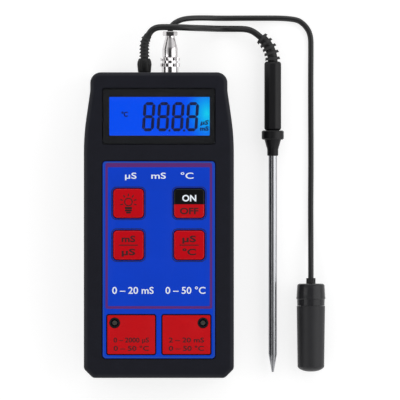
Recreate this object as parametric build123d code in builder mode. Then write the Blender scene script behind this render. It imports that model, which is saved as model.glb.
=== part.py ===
from build123d import *

import math
import os

# Handheld conductivity tester lying on its back, with its temperature probe and its conductivity
# probe plugged in. Millimetres. The origin is the middle of the case's back face, +Y runs to the
# end with the sockets and +Z comes out of the front face. The back face is the table at Z = 0.

# Case outline
case_length = 143.0
case_width = 70.2
head_width = 64.2  # across the narrower end that holds the display
head_corner = 5.0
head_straight = 8.7  # straight side below the top end, before it slants out
slant_length = 20.7
slant_radius = 115.0
kink_radius = 6.0
foot_chamfer = 4.3
foot_round = 2.6
case_edge = 2.2  # rounding of the front and back edges
case_wall = 2.0
parting_height = 21.0
parting_chamfer = 0.3
lip_height = 1.2
lip_gap = 0.05
root = 0.5  # how far a rib, boss or wall runs into the piece that carries it
overrun = 1.0  # how far a cut runs past the face that it leaves through

# Stack from the back of the case to the front
door_thickness = 1.8
battery_gap = 0.3
battery_thickness = 17.5
bay_headroom = 0.6
bay_roof = 1.2
board_gap = 1.0
board_thickness = 1.6
standoff_height = 5.8
front_thickness = 2.2
back_thickness = 2.0

bay_ceiling = door_thickness + battery_gap + battery_thickness + bay_headroom
bay_top = bay_ceiling + bay_roof
board_bottom = bay_top + board_gap
board_top = board_bottom + board_thickness
front_inside = board_top + standoff_height
case_depth = front_inside + front_thickness
case_top = case_length / 2
case_foot = -case_length / 2

# Display
display_below_top = 20.6
window_size = (52.4, 26.0)
window_corner = 1.2
window_gap = 0.35
window_thickness = 0.9
window_recess = 1.2
display_opening = (49.4, 20.7)
glass_size = (50.8, 24.2)
glass_thickness = 2.8
glass_pane_step = 1.3  # the front pane is shorter, which bares the contact ledge
backlight_size = (50.0, 20.6)
frame_gap = 0.2
frame_wall = 0.8
strip_size = (48.0, 1.4)
strip_gap = 0.2

# Faceplate
plate_width = 52.5
plate_below_top = 41.7
plate_above_foot = 9.2
plate_corner = 1.5
plate_gap = 0.5
plate_thickness = 0.6
plate_recess = 0.8

# Keys
key_size = (14.1, 13.5)
key_corner = 1.75
key_edge = 0.5
key_spacing = 28.4
key_row_pitch = 19.55
keys_below_plate_top = 19.6
key_travel = 0.5
key_stand_out = 0.6  # above the faceplate
key_hole_gap = 0.3
key_border = 0.45  # gap in the faceplate round a key
key_flange = 1.1
key_flange_thickness = 1.0
key_flange_gap = 0.3
key_wall = 1.3
key_roof = 1.2
key_inner_corner = 0.8
key_stem_wall = 0.5
switch_size = 6.0
switch_corner = 0.5
switch_height = 3.5
plunger_diameter = 3.4
plunger_gap = 0.1
plunger_depth = 1.3

# Calibration plates and their trimmers
cal_size = (22.3, 18.1)
cal_corner = 0.6
cal_border = 0.6
cal_spacing = 25.8
cal_above_plate_foot = 11.1
cal_thickness = 0.8
trimmer_offset = (7.75, 5.5)  # from a calibration plate's centre, outwards and up
trimmer_size = 7.0
trimmer_height = 5.2
trimmer_screw_diameter = 2.6
trimmer_screw_gap = 0.05
trimmer_screw_seat = 2.2
trimmer_screw_below_face = 1.1
trimmer_slot = (0.55, 0.6)
bush_outer = 5.0
bush_inner = 3.5
bush_gap = 0.05
small_edge = 0.2

# Screws and bosses
upper_case_screws = (5.8, 4.9)  # in from the head's side, and below the case's top end
lower_case_screws = (5.6, 37.5)  # in from the case's side, and above its foot
upper_board_screws = (6.6, 47.5)
lower_board_screws = (6.6, 49.5)
screw_diameter = 2.8
screw_length = 16.0
screw_head = (5.2, 1.9)
screw_gap = 0.05
screw_seat = 10.0
screw_clearance = 0.15  # where a case screw passes through the rear case
head_clearance = 0.2
pilot_extra = 1.0  # how much deeper a screw's hole is than the screw
cross_slot = (2.8, 0.6)
cross_slot_depth = 1.2
rear_boss_diameter = 7.6
front_boss_diameter = 4.8
board_screw_diameter = 2.2
board_screw_length = 5.6
board_screw_head = (4.2, 1.5)
board_pilot_extra = 0.6
board_screw_slot = (2.4, 0.5)
board_screw_slot_depth = 0.7
standoff_diameter = 5.2
board_inset = 0.8
board_end_gap = 6.3  # from the case's top end to the board
boss_clearance = 0.4
back_rib = (48.0, 1.2, 1.2)  # length, width and height
back_rib_first = 27.5  # below the case's top end
back_rib_pitch = 20.0
back_rib_count = 4

# Parts on the back of the board, with places measured from the middle of the upper row of keys
chip_place = (-9.0, -2.2)
chip_size = 12.0
chip_thickness = 1.5
chip_gap = 0.2
chip_leg = 0.5
chip_leg_reach = 1.4
chip_leg_pitch = 1.25
chip_legs = 8
capacitor_size = (3.15, 7.5)  # radius and height
capacitor_places = [(12.0, -8.2), (20.0, -8.2)]
package_size = (5.0, 4.0, 1.6)
package_places = [(10.0, 9.8), (20.0, 9.8), (-20.0, -24.2)]
crystal_size = (11.0, 4.6, 3.4)
crystal_corner = 2.2
crystal_places = [(-9.0, 13.8)]
resistor_size = (3.2, 1.6, 0.7)
resistor_places = [(-4.0, -24.2), (4.0, -24.2), (0, -30.2)]

# Battery, its bay and its door
battery_length = 46.4
battery_width = 26.5
battery_corner = 2.0
battery_edge = 0.6
terminal_diameter = 5.8
terminal_ring = 8.4
terminal_height = 2.1
terminal_spacing = 12.7
snap_plate = (1.7, 24.0, 12.0)
snap_corner = 3.0
battery_lead_diameter = 1.3
battery_lead_spacing = 3.2
battery_lead_rises = (7.7, 4.7)  # from the bay's head end to where each lead turns up to the board
lead_notch_size = (2.6, 5.4)
hookup_bend = 1.6  # radius of a bend in an inner lead
snap_gap = 0.1
bay_half_width = 25.9
bay_side = 2.0
bay_length = 28.3
bay_end_wall = 1.2
door_gap = 0.2
door_length = 33.5
door_tongue = (0.9, 1.0)
door_lip = 0.7
ledge_reach = 1.6
ledge_height = 1.4
grip_pocket = (20.0, 9.0, 0.6)
grip_pocket_below_head = 11.0
grip_rib = (9.0, 0.6)
grip_rib_pitch = 1.5
grip_ribs = 5

# Sockets and plugs at the top end
ec_axis = (5.2, 11.5)  # X and Z of the bayonet socket
jack_axis = (-6.8, 17.0)  # X and Z of the jack socket
collar_radius = 4.0
collar_length = 2.7
barrel_radius = 2.6
barrel_bore = 2.15
barrel_length = 3.4
lug_reach = 2.95
lug_radius = 0.6
lug_before_end = 1.2
thread_radius = 3.0
thread_length = 7.0
socket_nut_flats = 8.0
socket_nut_height = 2.2
socket_floor = 1.0
solder_pin = (0.6, 4.0)  # radius and length
insulator_shelf = 0.6  # below the collar's end
insulator_set_back = 0.2  # below the barrel's end
contact_depth = 1.2  # below the collar's end
socket_lead_diameter = 1.2
ec_lead_rise = 20.5  # from the case's top end to where the inner lead turns up to the board
jack_lead_rise = 23.5
ring_bore = 3.2
ring_band_radius = 3.7
knurl_radius = 4.65
knurl_depth = 0.3
knurl_count = 22
knurl_bands = [(0.0, 1.5), (2.8, 4.2)]  # start and end of each knurled band along the ring
ring_length = 4.2
ring_lip = 0.35
plug_gap = 0.1
plug_fit = 0.08
plug_sleeve_outer = 2.05
plug_sleeve_bore = 1.45
plug_neck = 2.5
plug_shoulder = 3.65
plug_edge = 0.25
plug_straight = 4.1
plug_taper = 5.5
plug_tail_radius = 2.2
plug_tail = 0.5
clamp_nut_radius = 3.5
clamp_nut_length = 2.2
clamp_nut_edge = 0.3
centre_pin_radius = 0.45
centre_bore = 0.55
pin_entry = 0.8  # how far below the collar's end the centre pin reaches
sleeve_clearance = 0.4
insulator_clearance = 0.5
insulator_tail = 1.5
jack_pin_radius = 1.75
jack_pin_length = 14.0
jack_pin_tip = [(1.05, 0.0), (0.15, 1.3), (0.6, 2.6), (0.0, 3.2)]  # drawn in, and from the tip
jack_pin_grooves = [(4.4, 5.2), (7.4, 8.2)]  # start and end of each insulating ring
jack_pin_groove_depth = 0.15
jack_block = (9.0, 13.0, 9.0)
jack_block_slack = 8.0  # free length behind the jack socket
jack_end_wall = 0.3
jack_tab = (4.0, 3.0, 0.6)
saddle_wall = 1.3
saddle_width = 2.4
saddle_inset = 1.5
saddle_pitch = 6.5
jack_bush_radius = 2.9
jack_fit = 0.05
jack_grip_length = 6.5
jack_grip_foot = 3.05
jack_grip_belly = (3.4, 2.8)  # radius, and distance before the grip's end
jack_grip_shoulder = (3.25, 1.5)
jack_grip_top = 2.75
jack_grip_edge = 0.25
jack_flute = (0.42, 3.55)  # radius, and distance from the axis
jack_flute_count = 12
jack_flute_margin = 0.7
jack_boot_core = 1.8
jack_boot_ribs = [2.45, 2.4, 2.4, 2.4, 2.35, 2.35]  # radius of each rib
jack_boot_rib = (1.2, 1.6, 0.9)  # middle of the first, pitch and width
jack_boot_straight = 5.8
jack_boot_bend = (7.5, 30.0)  # radius and angle
boot_end = 1.6  # straight end of a boot, which takes its lead in
rib_slope = 0.3  # how much narrower a boot's rib is at its far face

# Conductivity probe, lying along Y
ec_probe_x = 71.3
gland_top = -24.9
gland_seat = 1.0
gland_entry = 1.0
gland_flute = (0.32, 2.3)  # radius, and distance from the axis
gland_flute_count = 10
gland_flute_start = 0.3
head_top = -27.5
head_lip = -34.1
head_foot = -37.85
cap_foot = -68.8
head_radius = 6.45
head_round = (0.9, 0.3)  # the rounded top edge, and its upper step
head_lip_width = 0.5
head_lip_slope = 0.3
head_flare = 0.1
lip_radius = 6.85
cap_top_radius = 6.65
cap_low_radius = 6.25
cap_dome = 1.6
cap_edge = 0.2
cap_foot_edge = (0.5, 0.6)
cap_dome_start = (-0.75, -0.65)  # the way in which the dome leaves the side
cap_bore = 5.2
cap_floor = 2.4
stem_radius = 4.7
stem_foot = -60.0
stem_pocket = (3.6, 8.0)
stem_spigot = (3.0, 6.5)
stem_edge = 0.4
vent_radius = 1.1
vent_below_pocket = 1.6
electrode_radius = 1.0
electrode_offset = 1.9
electrode_length = 7.0
seal_section = 1.1
seal_below_head = 3.2
seal_groove = (0.65, 1.3)  # depth and width
gland_radius = 2.2

# Temperature probe, lying along Y
temp_probe_x = 53.4
grip_top = 76.8
grip_foot = 44.4
grip_flats = 7.9
grip_edge = 2.2
grip_end_edge = 1.3
boot_seat = 2.5  # depth of the boot's foot in the grip
probe_boot_core = 2.3
probe_boot_ribs = [3.6, 3.6, 3.55, 3.4, 3.2]  # radius of each rib
probe_boot_rib = (3.9, 2.7, 1.3)  # middle of the first, pitch and width
probe_boot_bend = (13.9, 47.0)  # radius and angle
collar_low = 40.1
nose_foot = 32.5
collar_outer = 5.2
nose_top_radius = 3.9
nose_low_radius = 2.6
nose_straight = 3.0
nose_edge = 0.3
collar_edge = 0.5
spigot_radius = 2.6
spigot_length = 6.0
spigot_relief = 1.0
rod_radius = 2.0
rod_seat_radius = 1.75  # the turned-down end of the rod, inside the nose
rod_bore = 1.55
rod_taper_start = -60.5
rod_tip = -69.0
rod_tip_radius = 0.5
rod_plug = 1.5  # solid end above the start of the taper
thermistor_length = 6.0
piece_fit = 0.05

# Leads: the points of each route, chosen by hand
temp_lead_diameter = 3.0
ec_lead_diameter = 2.6
cord_entry = 1.2  # how far a boot takes its lead in
arc_share = 0.45  # how much of the shorter run beside a corner its arc may use
temp_lead_route = [
    (-5.595, 87.997, 17.0),
    (-4.1, 90.59, 17.0),
    (-2.41, 92.0, 17.0),
    (-0.35, 92.72, 17.0),
    (3.2, 92.8, 17.05),
    (9.8, 92.7, 17.0),
    (15.2, 92.45, 14.5),
    (21.9, 92.35, 6.5),
    (27.5, 92.2, 1.95),
    (33.5, 92.15, 1.6),
    (40.5, 92.1, 4.6),
    (43.6, 91.2, 5.2),
    (46.35, 89.42, 5.2),
    (48.687, 87.239, 5.2),
]
ec_lead_route = [
    (5.2, 88.7, 11.5),
    (5.2, 92.3, 11.5),
    (6.9, 94.6, 11.2),
    (10.6, 96.6, 10.2),
    (15.2, 97.15, 8.3),
    (21.8, 97.25, 4.2),
    (29.0, 97.1, 1.5),
    (43.0, 97.2, 1.35),
    (64.7, 97.15, 1.35),
    (68.9, 94.74, 1.35),
    (71.3, 90.57, 1.35),
    (71.35, 81.5, 1.35),
    (71.25, 64.0, 1.35),
    (71.4, 31.0, 1.35),
    (71.25, 10.0, 1.35),
    (71.3, -2.5, 1.35),
    (71.3, -11.5, 4.6),
    (71.3, -18.7, 6.85),
    (71.3, -25.9, 6.85),
]

os.makedirs("parts", exist_ok=True)


def save(piece, name):
    """Label a finished piece and write its STEP file."""
    piece.part.label = name
    export_step(piece.part, f"parts/{name}.step")


def case_sketch(height, inset=0.0):
    """The case's outline at a height, drawn in by inset all round."""
    head = head_width / 2
    side = case_width / 2
    right = [
        (head, case_top),
        (head, case_top - head_straight),
        (side, case_top - head_straight - slant_length),
        (side, case_foot + foot_chamfer),
        (side - foot_chamfer, case_foot),
    ]
    left = [(-x, y) for x, y in reversed(right)]
    radii = [head_corner, kink_radius, slant_radius, foot_round, foot_round]
    with BuildSketch(Plane.XY.offset(height)) as outline:
        with BuildLine():
            FilletPolyline(*right, *left, radius=radii + radii[::-1], close=True)
        make_face()
        if inset > 0:
            offset(amount=-inset, kind=Kind.INTERSECTION)
    return outline.sketch


def spin(axis, profile, mode=Mode.ADD):
    """Turn a closed profile of (radius, Y) points about an axis along Y, given by its X and Z."""
    x, z = axis
    with BuildSketch(Plane(origin=(x, 0, z))) as outline:
        with BuildLine():
            Polyline(*profile, close=True)
        make_face()
    return revolve(outline.sketch, axis=Axis((x, 0, z), (0, 1, 0)), mode=mode)


def bar(axis, radius, start, end, mode=Mode.ADD):
    """A round bar along Y between two values of Y."""
    return spin(axis, [(0, start), (radius, start), (radius, end), (0, end)], mode)


def tube_between(axis, inner, outer, start, end):
    """A round tube along Y between two values of Y."""
    return spin(axis, [(inner, start), (outer, start), (outer, end), (inner, end)])


def across(axis, y):
    """The plane across an axis that runs along Y, at a value of Y, facing +Y."""
    return Plane(origin=(axis[0], y, axis[1]), x_dir=(1, 0, 0), z_dir=(0, 1, 0))


def rounded_block(size, corner, bottom, top, places, mode=Mode.ADD):
    """Upright blocks with rounded corners at each place, between two heights."""
    with BuildSketch(Plane.XY.offset(bottom)) as outline:
        with Locations(*places):
            RectangleRounded(size[0], size[1], corner)
    return extrude(outline.sketch, amount=top - bottom, mode=mode)


def block(size, bottom, top, places, mode=Mode.ADD):
    """Upright square-cornered blocks at each place, between two heights."""
    with BuildSketch(Plane.XY.offset(bottom)) as outline:
        with Locations(*places):
            Rectangle(size[0], size[1])
    return extrude(outline.sketch, amount=top - bottom, mode=mode)


def post(radius, bottom, top, places, mode=Mode.ADD):
    """Upright round posts at each place, between two heights."""
    with BuildSketch(Plane.XY.offset(bottom)) as outline:
        with Locations(*places):
            Circle(radius)
    return extrude(outline.sketch, amount=top - bottom, mode=mode)


def grown(size, margin):
    """A size with a margin on every side."""
    return (size[0] + 2 * margin, size[1] + 2 * margin)


def pair(x, y):
    """The two places either side of the middle line."""
    return [(-x, y), (x, y)]


def from_keys(places):
    """Places given from the middle of the upper row of keys."""
    return [(x, upper_row + y) for x, y in places]


def cord_radii(points):
    """The arc at each inner point of a route, as large as the runs beside it allow."""
    radii = []
    for before, here, after in zip(points, points[1:], points[2:]):
        arriving = Vector(*here) - Vector(*before)
        leaving = Vector(*after) - Vector(*here)
        half_turn = math.radians(arriving.get_angle(leaving)) / 2
        shorter = min(arriving.length, leaving.length)
        radii.append(arc_share * shorter / math.tan(half_turn))
    return radii


def round_wire(points, radii, diameter):
    """A round wire along straight runs joined by arcs."""
    with BuildPart() as wire:
        with BuildLine() as route:
            FilletPolyline(*points, radius=radii)
        with BuildSketch(Plane(origin=route.line @ 0, z_dir=route.line % 0)):
            Circle(diameter / 2)
        sweep(path=route.line)
    return wire.part, route.wires()[0].length


def cord(name, points, diameter):
    """Lay a lead along its route, print its radii and compare its volume with its length."""
    radii = cord_radii(points)
    with BuildPart() as lead:
        tube, length = round_wire(points, radii, diameter)
        add(tube)
    section = math.pi * diameter**2 / 4
    print(name, "radii", [round(radius, 1) for radius in radii])
    print(name, "length", round(length, 1), "volume share", round(tube.volume / section / length, 4))
    save(lead, name)


# Places worked out from the sizes above
display_place = (0, case_top - display_below_top)
plate_top = case_top - plate_below_top
plate_foot = case_foot + plate_above_foot
plate_length = plate_top - plate_foot
plate_place = (0, (plate_top + plate_foot) / 2)
plate_floor = case_depth - plate_recess
plate_face = plate_floor + plate_thickness
upper_row = plate_top - keys_below_plate_top
lower_row = upper_row - key_row_pitch
key_places = {
    "light": (-key_spacing / 2, upper_row),
    "power": (key_spacing / 2, upper_row),
    "units": (-key_spacing / 2, lower_row),
    "mode": (key_spacing / 2, lower_row),
}
cal_row = plate_foot + cal_above_plate_foot
cal_places = {"left": (-cal_spacing / 2, cal_row), "right": (cal_spacing / 2, cal_row)}
cal_face = plate_floor + cal_thickness
trimmer_places = {
    "left": (-cal_spacing / 2 - trimmer_offset[0], cal_row + trimmer_offset[1]),
    "right": (cal_spacing / 2 + trimmer_offset[0], cal_row + trimmer_offset[1]),
}
key_hole = grown(key_size, key_hole_gap)
key_hole_corner = key_corner + key_hole_gap
flange_top = front_inside - key_flange_gap
flange_bottom = flange_top - key_flange_thickness
key_face = plate_face + key_stand_out
bay_y = case_foot + case_wall + bay_length / 2
bay_head = case_foot + case_wall + bay_length
door_head = case_foot + door_length
battery_bottom = door_thickness + battery_gap
battery_left = -bay_half_width + battery_gap
battery_right = battery_left + battery_length
battery_middle = battery_bottom + battery_thickness / 2
bush_radius = bush_outer / 2
case_screw_places = pair(
    head_width / 2 - upper_case_screws[0], case_top - upper_case_screws[1]
) + pair(case_width / 2 - lower_case_screws[0], case_foot + lower_case_screws[1])
board_screw_places = pair(
    case_width / 2 - upper_board_screws[0], case_top - upper_board_screws[1]
) + pair(case_width / 2 - lower_board_screws[0], case_foot + lower_board_screws[1])

# Front case: a shell with recesses for the window and the faceplate, and holes for the keys
with BuildPart() as front_case:
    extrude(case_sketch(parting_height), amount=case_depth - parting_height)
    fillet(front_case.faces().sort_by(Axis.Z)[-1].edges(), radius=case_edge)
    chamfer(front_case.faces().sort_by(Axis.Z)[0].edges(), length=parting_chamfer)
    extrude(
        case_sketch(parting_height, case_wall),
        amount=front_inside - parting_height,
        mode=Mode.SUBTRACT,
    )
    extrude(
        case_sketch(parting_height, case_wall / 2),
        amount=lip_height + lip_gap,
        mode=Mode.SUBTRACT,
    )
    post(front_boss_diameter / 2, parting_height, front_inside, case_screw_places)
    post(standoff_diameter / 2, board_top, front_inside, board_screw_places)
    post(
        screw_diameter / 2 + screw_gap,
        parting_height,
        screw_seat + screw_length + pilot_extra,
        case_screw_places,
        Mode.SUBTRACT,
    )
    post(
        board_screw_diameter / 2 + screw_gap,
        board_top,
        board_bottom + board_screw_length + board_pilot_extra,
        board_screw_places,
        Mode.SUBTRACT,
    )
    rounded_block(
        grown(window_size, window_gap),
        window_corner + window_gap,
        case_depth - window_recess,
        case_depth,
        [display_place],
        Mode.SUBTRACT,
    )
    block(display_opening, front_inside, case_depth, [display_place], Mode.SUBTRACT)
    rounded_block(
        grown((plate_width, plate_length), plate_gap),
        plate_corner + plate_gap,
        plate_floor,
        case_depth,
        [plate_place],
        Mode.SUBTRACT,
    )
    rounded_block(
        key_hole,
        key_hole_corner,
        front_inside,
        case_depth,
        key_places.values(),
        Mode.SUBTRACT,
    )
    post(bush_radius + bush_gap, front_inside, case_depth, trimmer_places.values(), Mode.SUBTRACT)
save(front_case, "front_case")

# Rear case: a shell with the battery bay, the screw bosses, and the holes for both sockets
with BuildPart() as rear_case:
    extrude(case_sketch(0), amount=parting_height)
    fillet(rear_case.faces().sort_by(Axis.Z)[0].edges(), radius=case_edge)
    chamfer(rear_case.faces().sort_by(Axis.Z)[-1].edges(), length=parting_chamfer)
    extrude(
        case_sketch(back_thickness, case_wall),
        amount=parting_height,
        mode=Mode.SUBTRACT,
    )
    lip = case_sketch(parting_height, case_wall / 2 + lip_gap)
    lip_inside = case_sketch(parting_height, case_wall)
    extrude(lip - lip_inside, amount=lip_height)
    post(rear_boss_diameter / 2, back_thickness, parting_height, case_screw_places)
    bay_outside = bay_half_width + bay_side
    block(
        (2 * bay_outside, bay_length + bay_end_wall),
        back_thickness - root,
        bay_top,
        [(0, bay_y + bay_end_wall / 2)],
    )
    block(
        (2 * bay_outside, ledge_reach + door_head + door_gap - bay_head),
        back_thickness - root,
        door_thickness + ledge_height,
        [(0, (bay_head + door_head + door_gap + ledge_reach) / 2)],
    )
    back_ribs = [case_top - back_rib_first - back_rib_pitch * rib for rib in range(back_rib_count)]
    block(
        back_rib[:2],
        back_thickness - root,
        back_thickness + back_rib[2],
        [(0, back_rib_y) for back_rib_y in back_ribs],
    )
    saddle_foot = case_top - case_wall - jack_block[1] + saddle_inset
    block(
        (jack_block[0] + 2 * saddle_wall, saddle_width),
        back_thickness - root,
        jack_axis[1],
        [(jack_axis[0], saddle_foot), (jack_axis[0], saddle_foot + saddle_pitch)],
    )
    block(
        (2 * bay_half_width, bay_length),
        -overrun,
        bay_ceiling,
        [(0, bay_y)],
        Mode.SUBTRACT,
    )
    door_cut = door_length + door_gap + overrun
    block(
        (2 * bay_half_width, door_cut),
        -overrun,
        door_thickness + plug_gap,
        [(0, door_head + door_gap - door_cut / 2)],
        Mode.SUBTRACT,
    )
    block(
        (2 * (bay_half_width + door_tongue[0]), door_cut),
        door_lip,
        door_thickness + plug_gap,
        [(0, door_head + door_gap - door_cut / 2)],
        Mode.SUBTRACT,
    )
    block(
        (jack_block[0] + 2 * jack_fit, jack_block[1] + jack_block_slack),
        jack_axis[1] - jack_block[2] / 2,
        jack_axis[1] + jack_block[2] / 2,
        [(jack_axis[0], case_top - case_wall - (jack_block[1] + jack_block_slack) / 2)],
        Mode.SUBTRACT,
    )
    lead_notch = battery_right + terminal_height + snap_gap + snap_plate[0] / 2
    block(
        (lead_notch_size[0], bay_end_wall + 2 * overrun),
        battery_middle - lead_notch_size[1] / 2,
        battery_middle + lead_notch_size[1] / 2,
        [(lead_notch, bay_head + bay_end_wall / 2)],
        Mode.SUBTRACT,
    )
    post(
        screw_diameter / 2 + screw_clearance,
        -overrun,
        parting_height + overrun,
        case_screw_places,
        Mode.SUBTRACT,
    )
    post(screw_head[0] / 2 + head_clearance, -overrun, screw_seat, case_screw_places, Mode.SUBTRACT)
    for hole_axis, hole_radius in ((ec_axis, thread_radius), (jack_axis, jack_bush_radius)):
        bar(
            hole_axis,
            hole_radius + jack_fit,
            case_top - case_wall - overrun,
            case_top + overrun,
            Mode.SUBTRACT,
        )
save(rear_case, "rear_case")

# Battery door: it slides off the foot of the case and carries the case's own rounded edge
with BuildPart() as battery_door:
    extrude(case_sketch(0), amount=door_thickness + overrun)
    fillet(battery_door.faces().sort_by(Axis.Z)[0].edges(), radius=case_edge)
    with BuildSketch(Plane.XY) as door_outline:
        with Locations((0, door_head - door_length / 2)):
            Rectangle(2 * (bay_half_width - door_gap), door_length)
    with BuildSketch(Plane.XY.offset(door_thickness - door_tongue[1])) as tongue_outline:
        with Locations((0, door_head - door_length / 2)):
            Rectangle(2 * (bay_half_width - door_gap + door_tongue[0]), door_length)
    door_plate = extrude(door_outline.sketch, amount=door_thickness, mode=Mode.PRIVATE)
    tongues = extrude(tongue_outline.sketch, amount=door_tongue[1], mode=Mode.PRIVATE)
    add(door_plate + tongues, mode=Mode.INTERSECT)
    pocket_y = door_head - grip_pocket_below_head
    with BuildSketch(Plane.XY.offset(-overrun)) as pocket_outline:
        with Locations((0, pocket_y)):
            SlotOverall(grip_pocket[0], grip_pocket[1])
    extrude(pocket_outline.sketch, amount=overrun + grip_pocket[2], mode=Mode.SUBTRACT)
    for rib in range(grip_ribs):
        rib_y = pocket_y + (rib - (grip_ribs - 1) / 2) * grip_rib_pitch
        block(grip_rib, 0.0, grip_pocket[2] + root, [(0, rib_y)])
save(battery_door, "battery_door")

# Case screws: pan heads with a cross slot, driven from the back
with BuildPart() as case_screws:
    post(screw_head[0] / 2, screw_seat - screw_head[1], screw_seat, case_screw_places)
    post(screw_diameter / 2, screw_seat, screw_seat + screw_length, case_screw_places)
    for slot in (cross_slot, cross_slot[::-1]):
        block(
            slot,
            screw_seat - screw_head[1] - overrun,
            screw_seat - screw_head[1] + cross_slot_depth,
            case_screw_places,
            Mode.SUBTRACT,
        )
save(case_screws, "case_screws")

with BuildPart() as board_screws:
    post(
        board_screw_head[0] / 2,
        board_bottom - board_screw_head[1],
        board_bottom,
        board_screw_places,
    )
    post(
        board_screw_diameter / 2,
        board_bottom,
        board_bottom + board_screw_length,
        board_screw_places,
    )
    block(
        board_screw_slot,
        board_bottom - board_screw_head[1] - overrun,
        board_bottom - board_screw_head[1] + board_screw_slot_depth,
        board_screw_places,
        Mode.SUBTRACT,
    )
save(board_screws, "board_screws")

# Display: window, glass, backlight, frame and rubber contact strips
with BuildPart() as lcd_window:
    window_bottom = case_depth - window_recess
    rounded_block(
        window_size,
        window_corner,
        window_bottom,
        window_bottom + window_thickness,
        [display_place],
    )
save(lcd_window, "lcd_window")

with BuildPart() as lcd_glass:
    glass_bottom = front_inside - glass_thickness
    glass_middle = glass_bottom + glass_thickness / 2
    block(glass_size, glass_bottom, glass_middle, [display_place])
    front_pane = (glass_size[0], glass_size[1] - 2 * glass_pane_step)
    block(front_pane, glass_middle, front_inside, [display_place])
save(lcd_glass, "lcd_glass")

with BuildPart() as lcd_backlight:
    block(backlight_size, board_top, glass_bottom, [display_place])
save(lcd_backlight, "lcd_backlight")

with BuildPart() as lcd_frame:
    frame_inside = grown(glass_size, frame_gap)
    frame_outside = grown(frame_inside, frame_wall)
    frame_top = front_inside - plug_gap
    block(frame_outside, board_top, frame_top, [display_place])
    block(frame_inside, board_top, frame_top, [display_place], Mode.SUBTRACT)
save(lcd_frame, "lcd_frame")

with BuildPart() as lcd_contact_strips:
    strip_offset = (backlight_size[1] + strip_size[1]) / 2 + strip_gap
    strip_places = [
        (0, display_place[1] - strip_offset),
        (0, display_place[1] + strip_offset),
    ]
    block(strip_size, board_top, glass_bottom, strip_places)
save(lcd_contact_strips, "lcd_contact_strips")

# Faceplate with its openings, and the two calibration plates
with BuildPart() as faceplate:
    rounded_block(
        (plate_width, plate_length),
        plate_corner,
        plate_floor,
        plate_face,
        [plate_place],
    )
    rounded_block(
        grown(key_size, key_border),
        key_corner + key_border,
        plate_floor,
        plate_face,
        key_places.values(),
        Mode.SUBTRACT,
    )
    rounded_block(
        grown(cal_size, cal_border),
        cal_corner + cal_border,
        plate_floor,
        plate_face,
        cal_places.values(),
        Mode.SUBTRACT,
    )
save(faceplate, "faceplate")

for side, place in cal_places.items():
    with BuildPart() as calibration_plate:
        rounded_block(cal_size, cal_corner, plate_floor, cal_face, [place])
        post(bush_radius + bush_gap, plate_floor, cal_face, [trimmer_places[side]], Mode.SUBTRACT)
    save(calibration_plate, f"calibration_plate_{side}")

# Bushes that line the trimmer holes, trimmer bodies, and their slotted screws
with BuildPart() as trimmer_bushes:
    post(bush_radius, front_inside, cal_face + plug_gap, trimmer_places.values())
    chamfer(trimmer_bushes.faces().filter_by(Axis.Z).group_by(Axis.Z)[-1].edges(), length=small_edge)
    post(
        bush_inner / 2,
        front_inside,
        cal_face + plug_gap,
        trimmer_places.values(),
        Mode.SUBTRACT,
    )
save(trimmer_bushes, "trimmer_bushes")

trimmer_top = board_top + trimmer_height
screw_floor = trimmer_top - trimmer_screw_seat
with BuildPart() as trimmer_bodies:
    block((trimmer_size, trimmer_size), board_top, trimmer_top, trimmer_places.values())
    post(
        trimmer_screw_diameter / 2 + trimmer_screw_gap,
        screw_floor,
        trimmer_top,
        trimmer_places.values(),
        Mode.SUBTRACT,
    )
save(trimmer_bodies, "trimmer_bodies")

for side, place in trimmer_places.items():
    with BuildPart() as trimmer_screw:
        screw_face = case_depth - trimmer_screw_below_face
        post(trimmer_screw_diameter / 2, screw_floor, screw_face, [place])
        chamfer(trimmer_screw.faces().sort_by(Axis.Z)[-1].edges(), length=small_edge)
        block(
            (trimmer_screw_diameter + overrun, trimmer_slot[0]),
            screw_face - trimmer_slot[1],
            screw_face,
            [place],
            Mode.SUBTRACT,
        )
    save(trimmer_screw, f"trimmer_screw_{side}")

# Keys: moulded caps with a flange behind the case wall, each on the plunger of its switch
switch_top = board_top + switch_height
plunger_bottom = switch_top - plunger_depth
for key_name, place in key_places.items():
    with BuildPart() as key_cap:
        rounded_block(key_size, key_corner, flange_bottom, key_face, [place])
        fillet(key_cap.faces().sort_by(Axis.Z)[-1].edges(), radius=key_edge)
        rounded_block(
            grown(key_size, key_flange),
            key_corner + key_flange,
            flange_bottom,
            flange_top,
            [place],
        )
        rounded_block(
            grown(key_size, -key_wall),
            key_inner_corner,
            flange_bottom,
            key_face - key_roof,
            [place],
            Mode.SUBTRACT,
        )
        post(plunger_diameter / 2 + key_stem_wall, flange_bottom, key_face - key_roof, [place])
    save(key_cap, f"key_{key_name}")
    with BuildPart() as plunger:
        post(plunger_diameter / 2, plunger_bottom, flange_bottom, [place])
    save(plunger, f"switch_plunger_{key_name}")

with BuildPart() as tact_switches:
    rounded_block(
        (switch_size, switch_size),
        switch_corner,
        board_top,
        switch_top,
        key_places.values(),
    )
    post(
        plunger_diameter / 2 + plunger_gap,
        plunger_bottom - key_travel - plunger_gap,
        switch_top,
        key_places.values(),
        Mode.SUBTRACT,
    )
save(tact_switches, "tact_switches")

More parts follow.
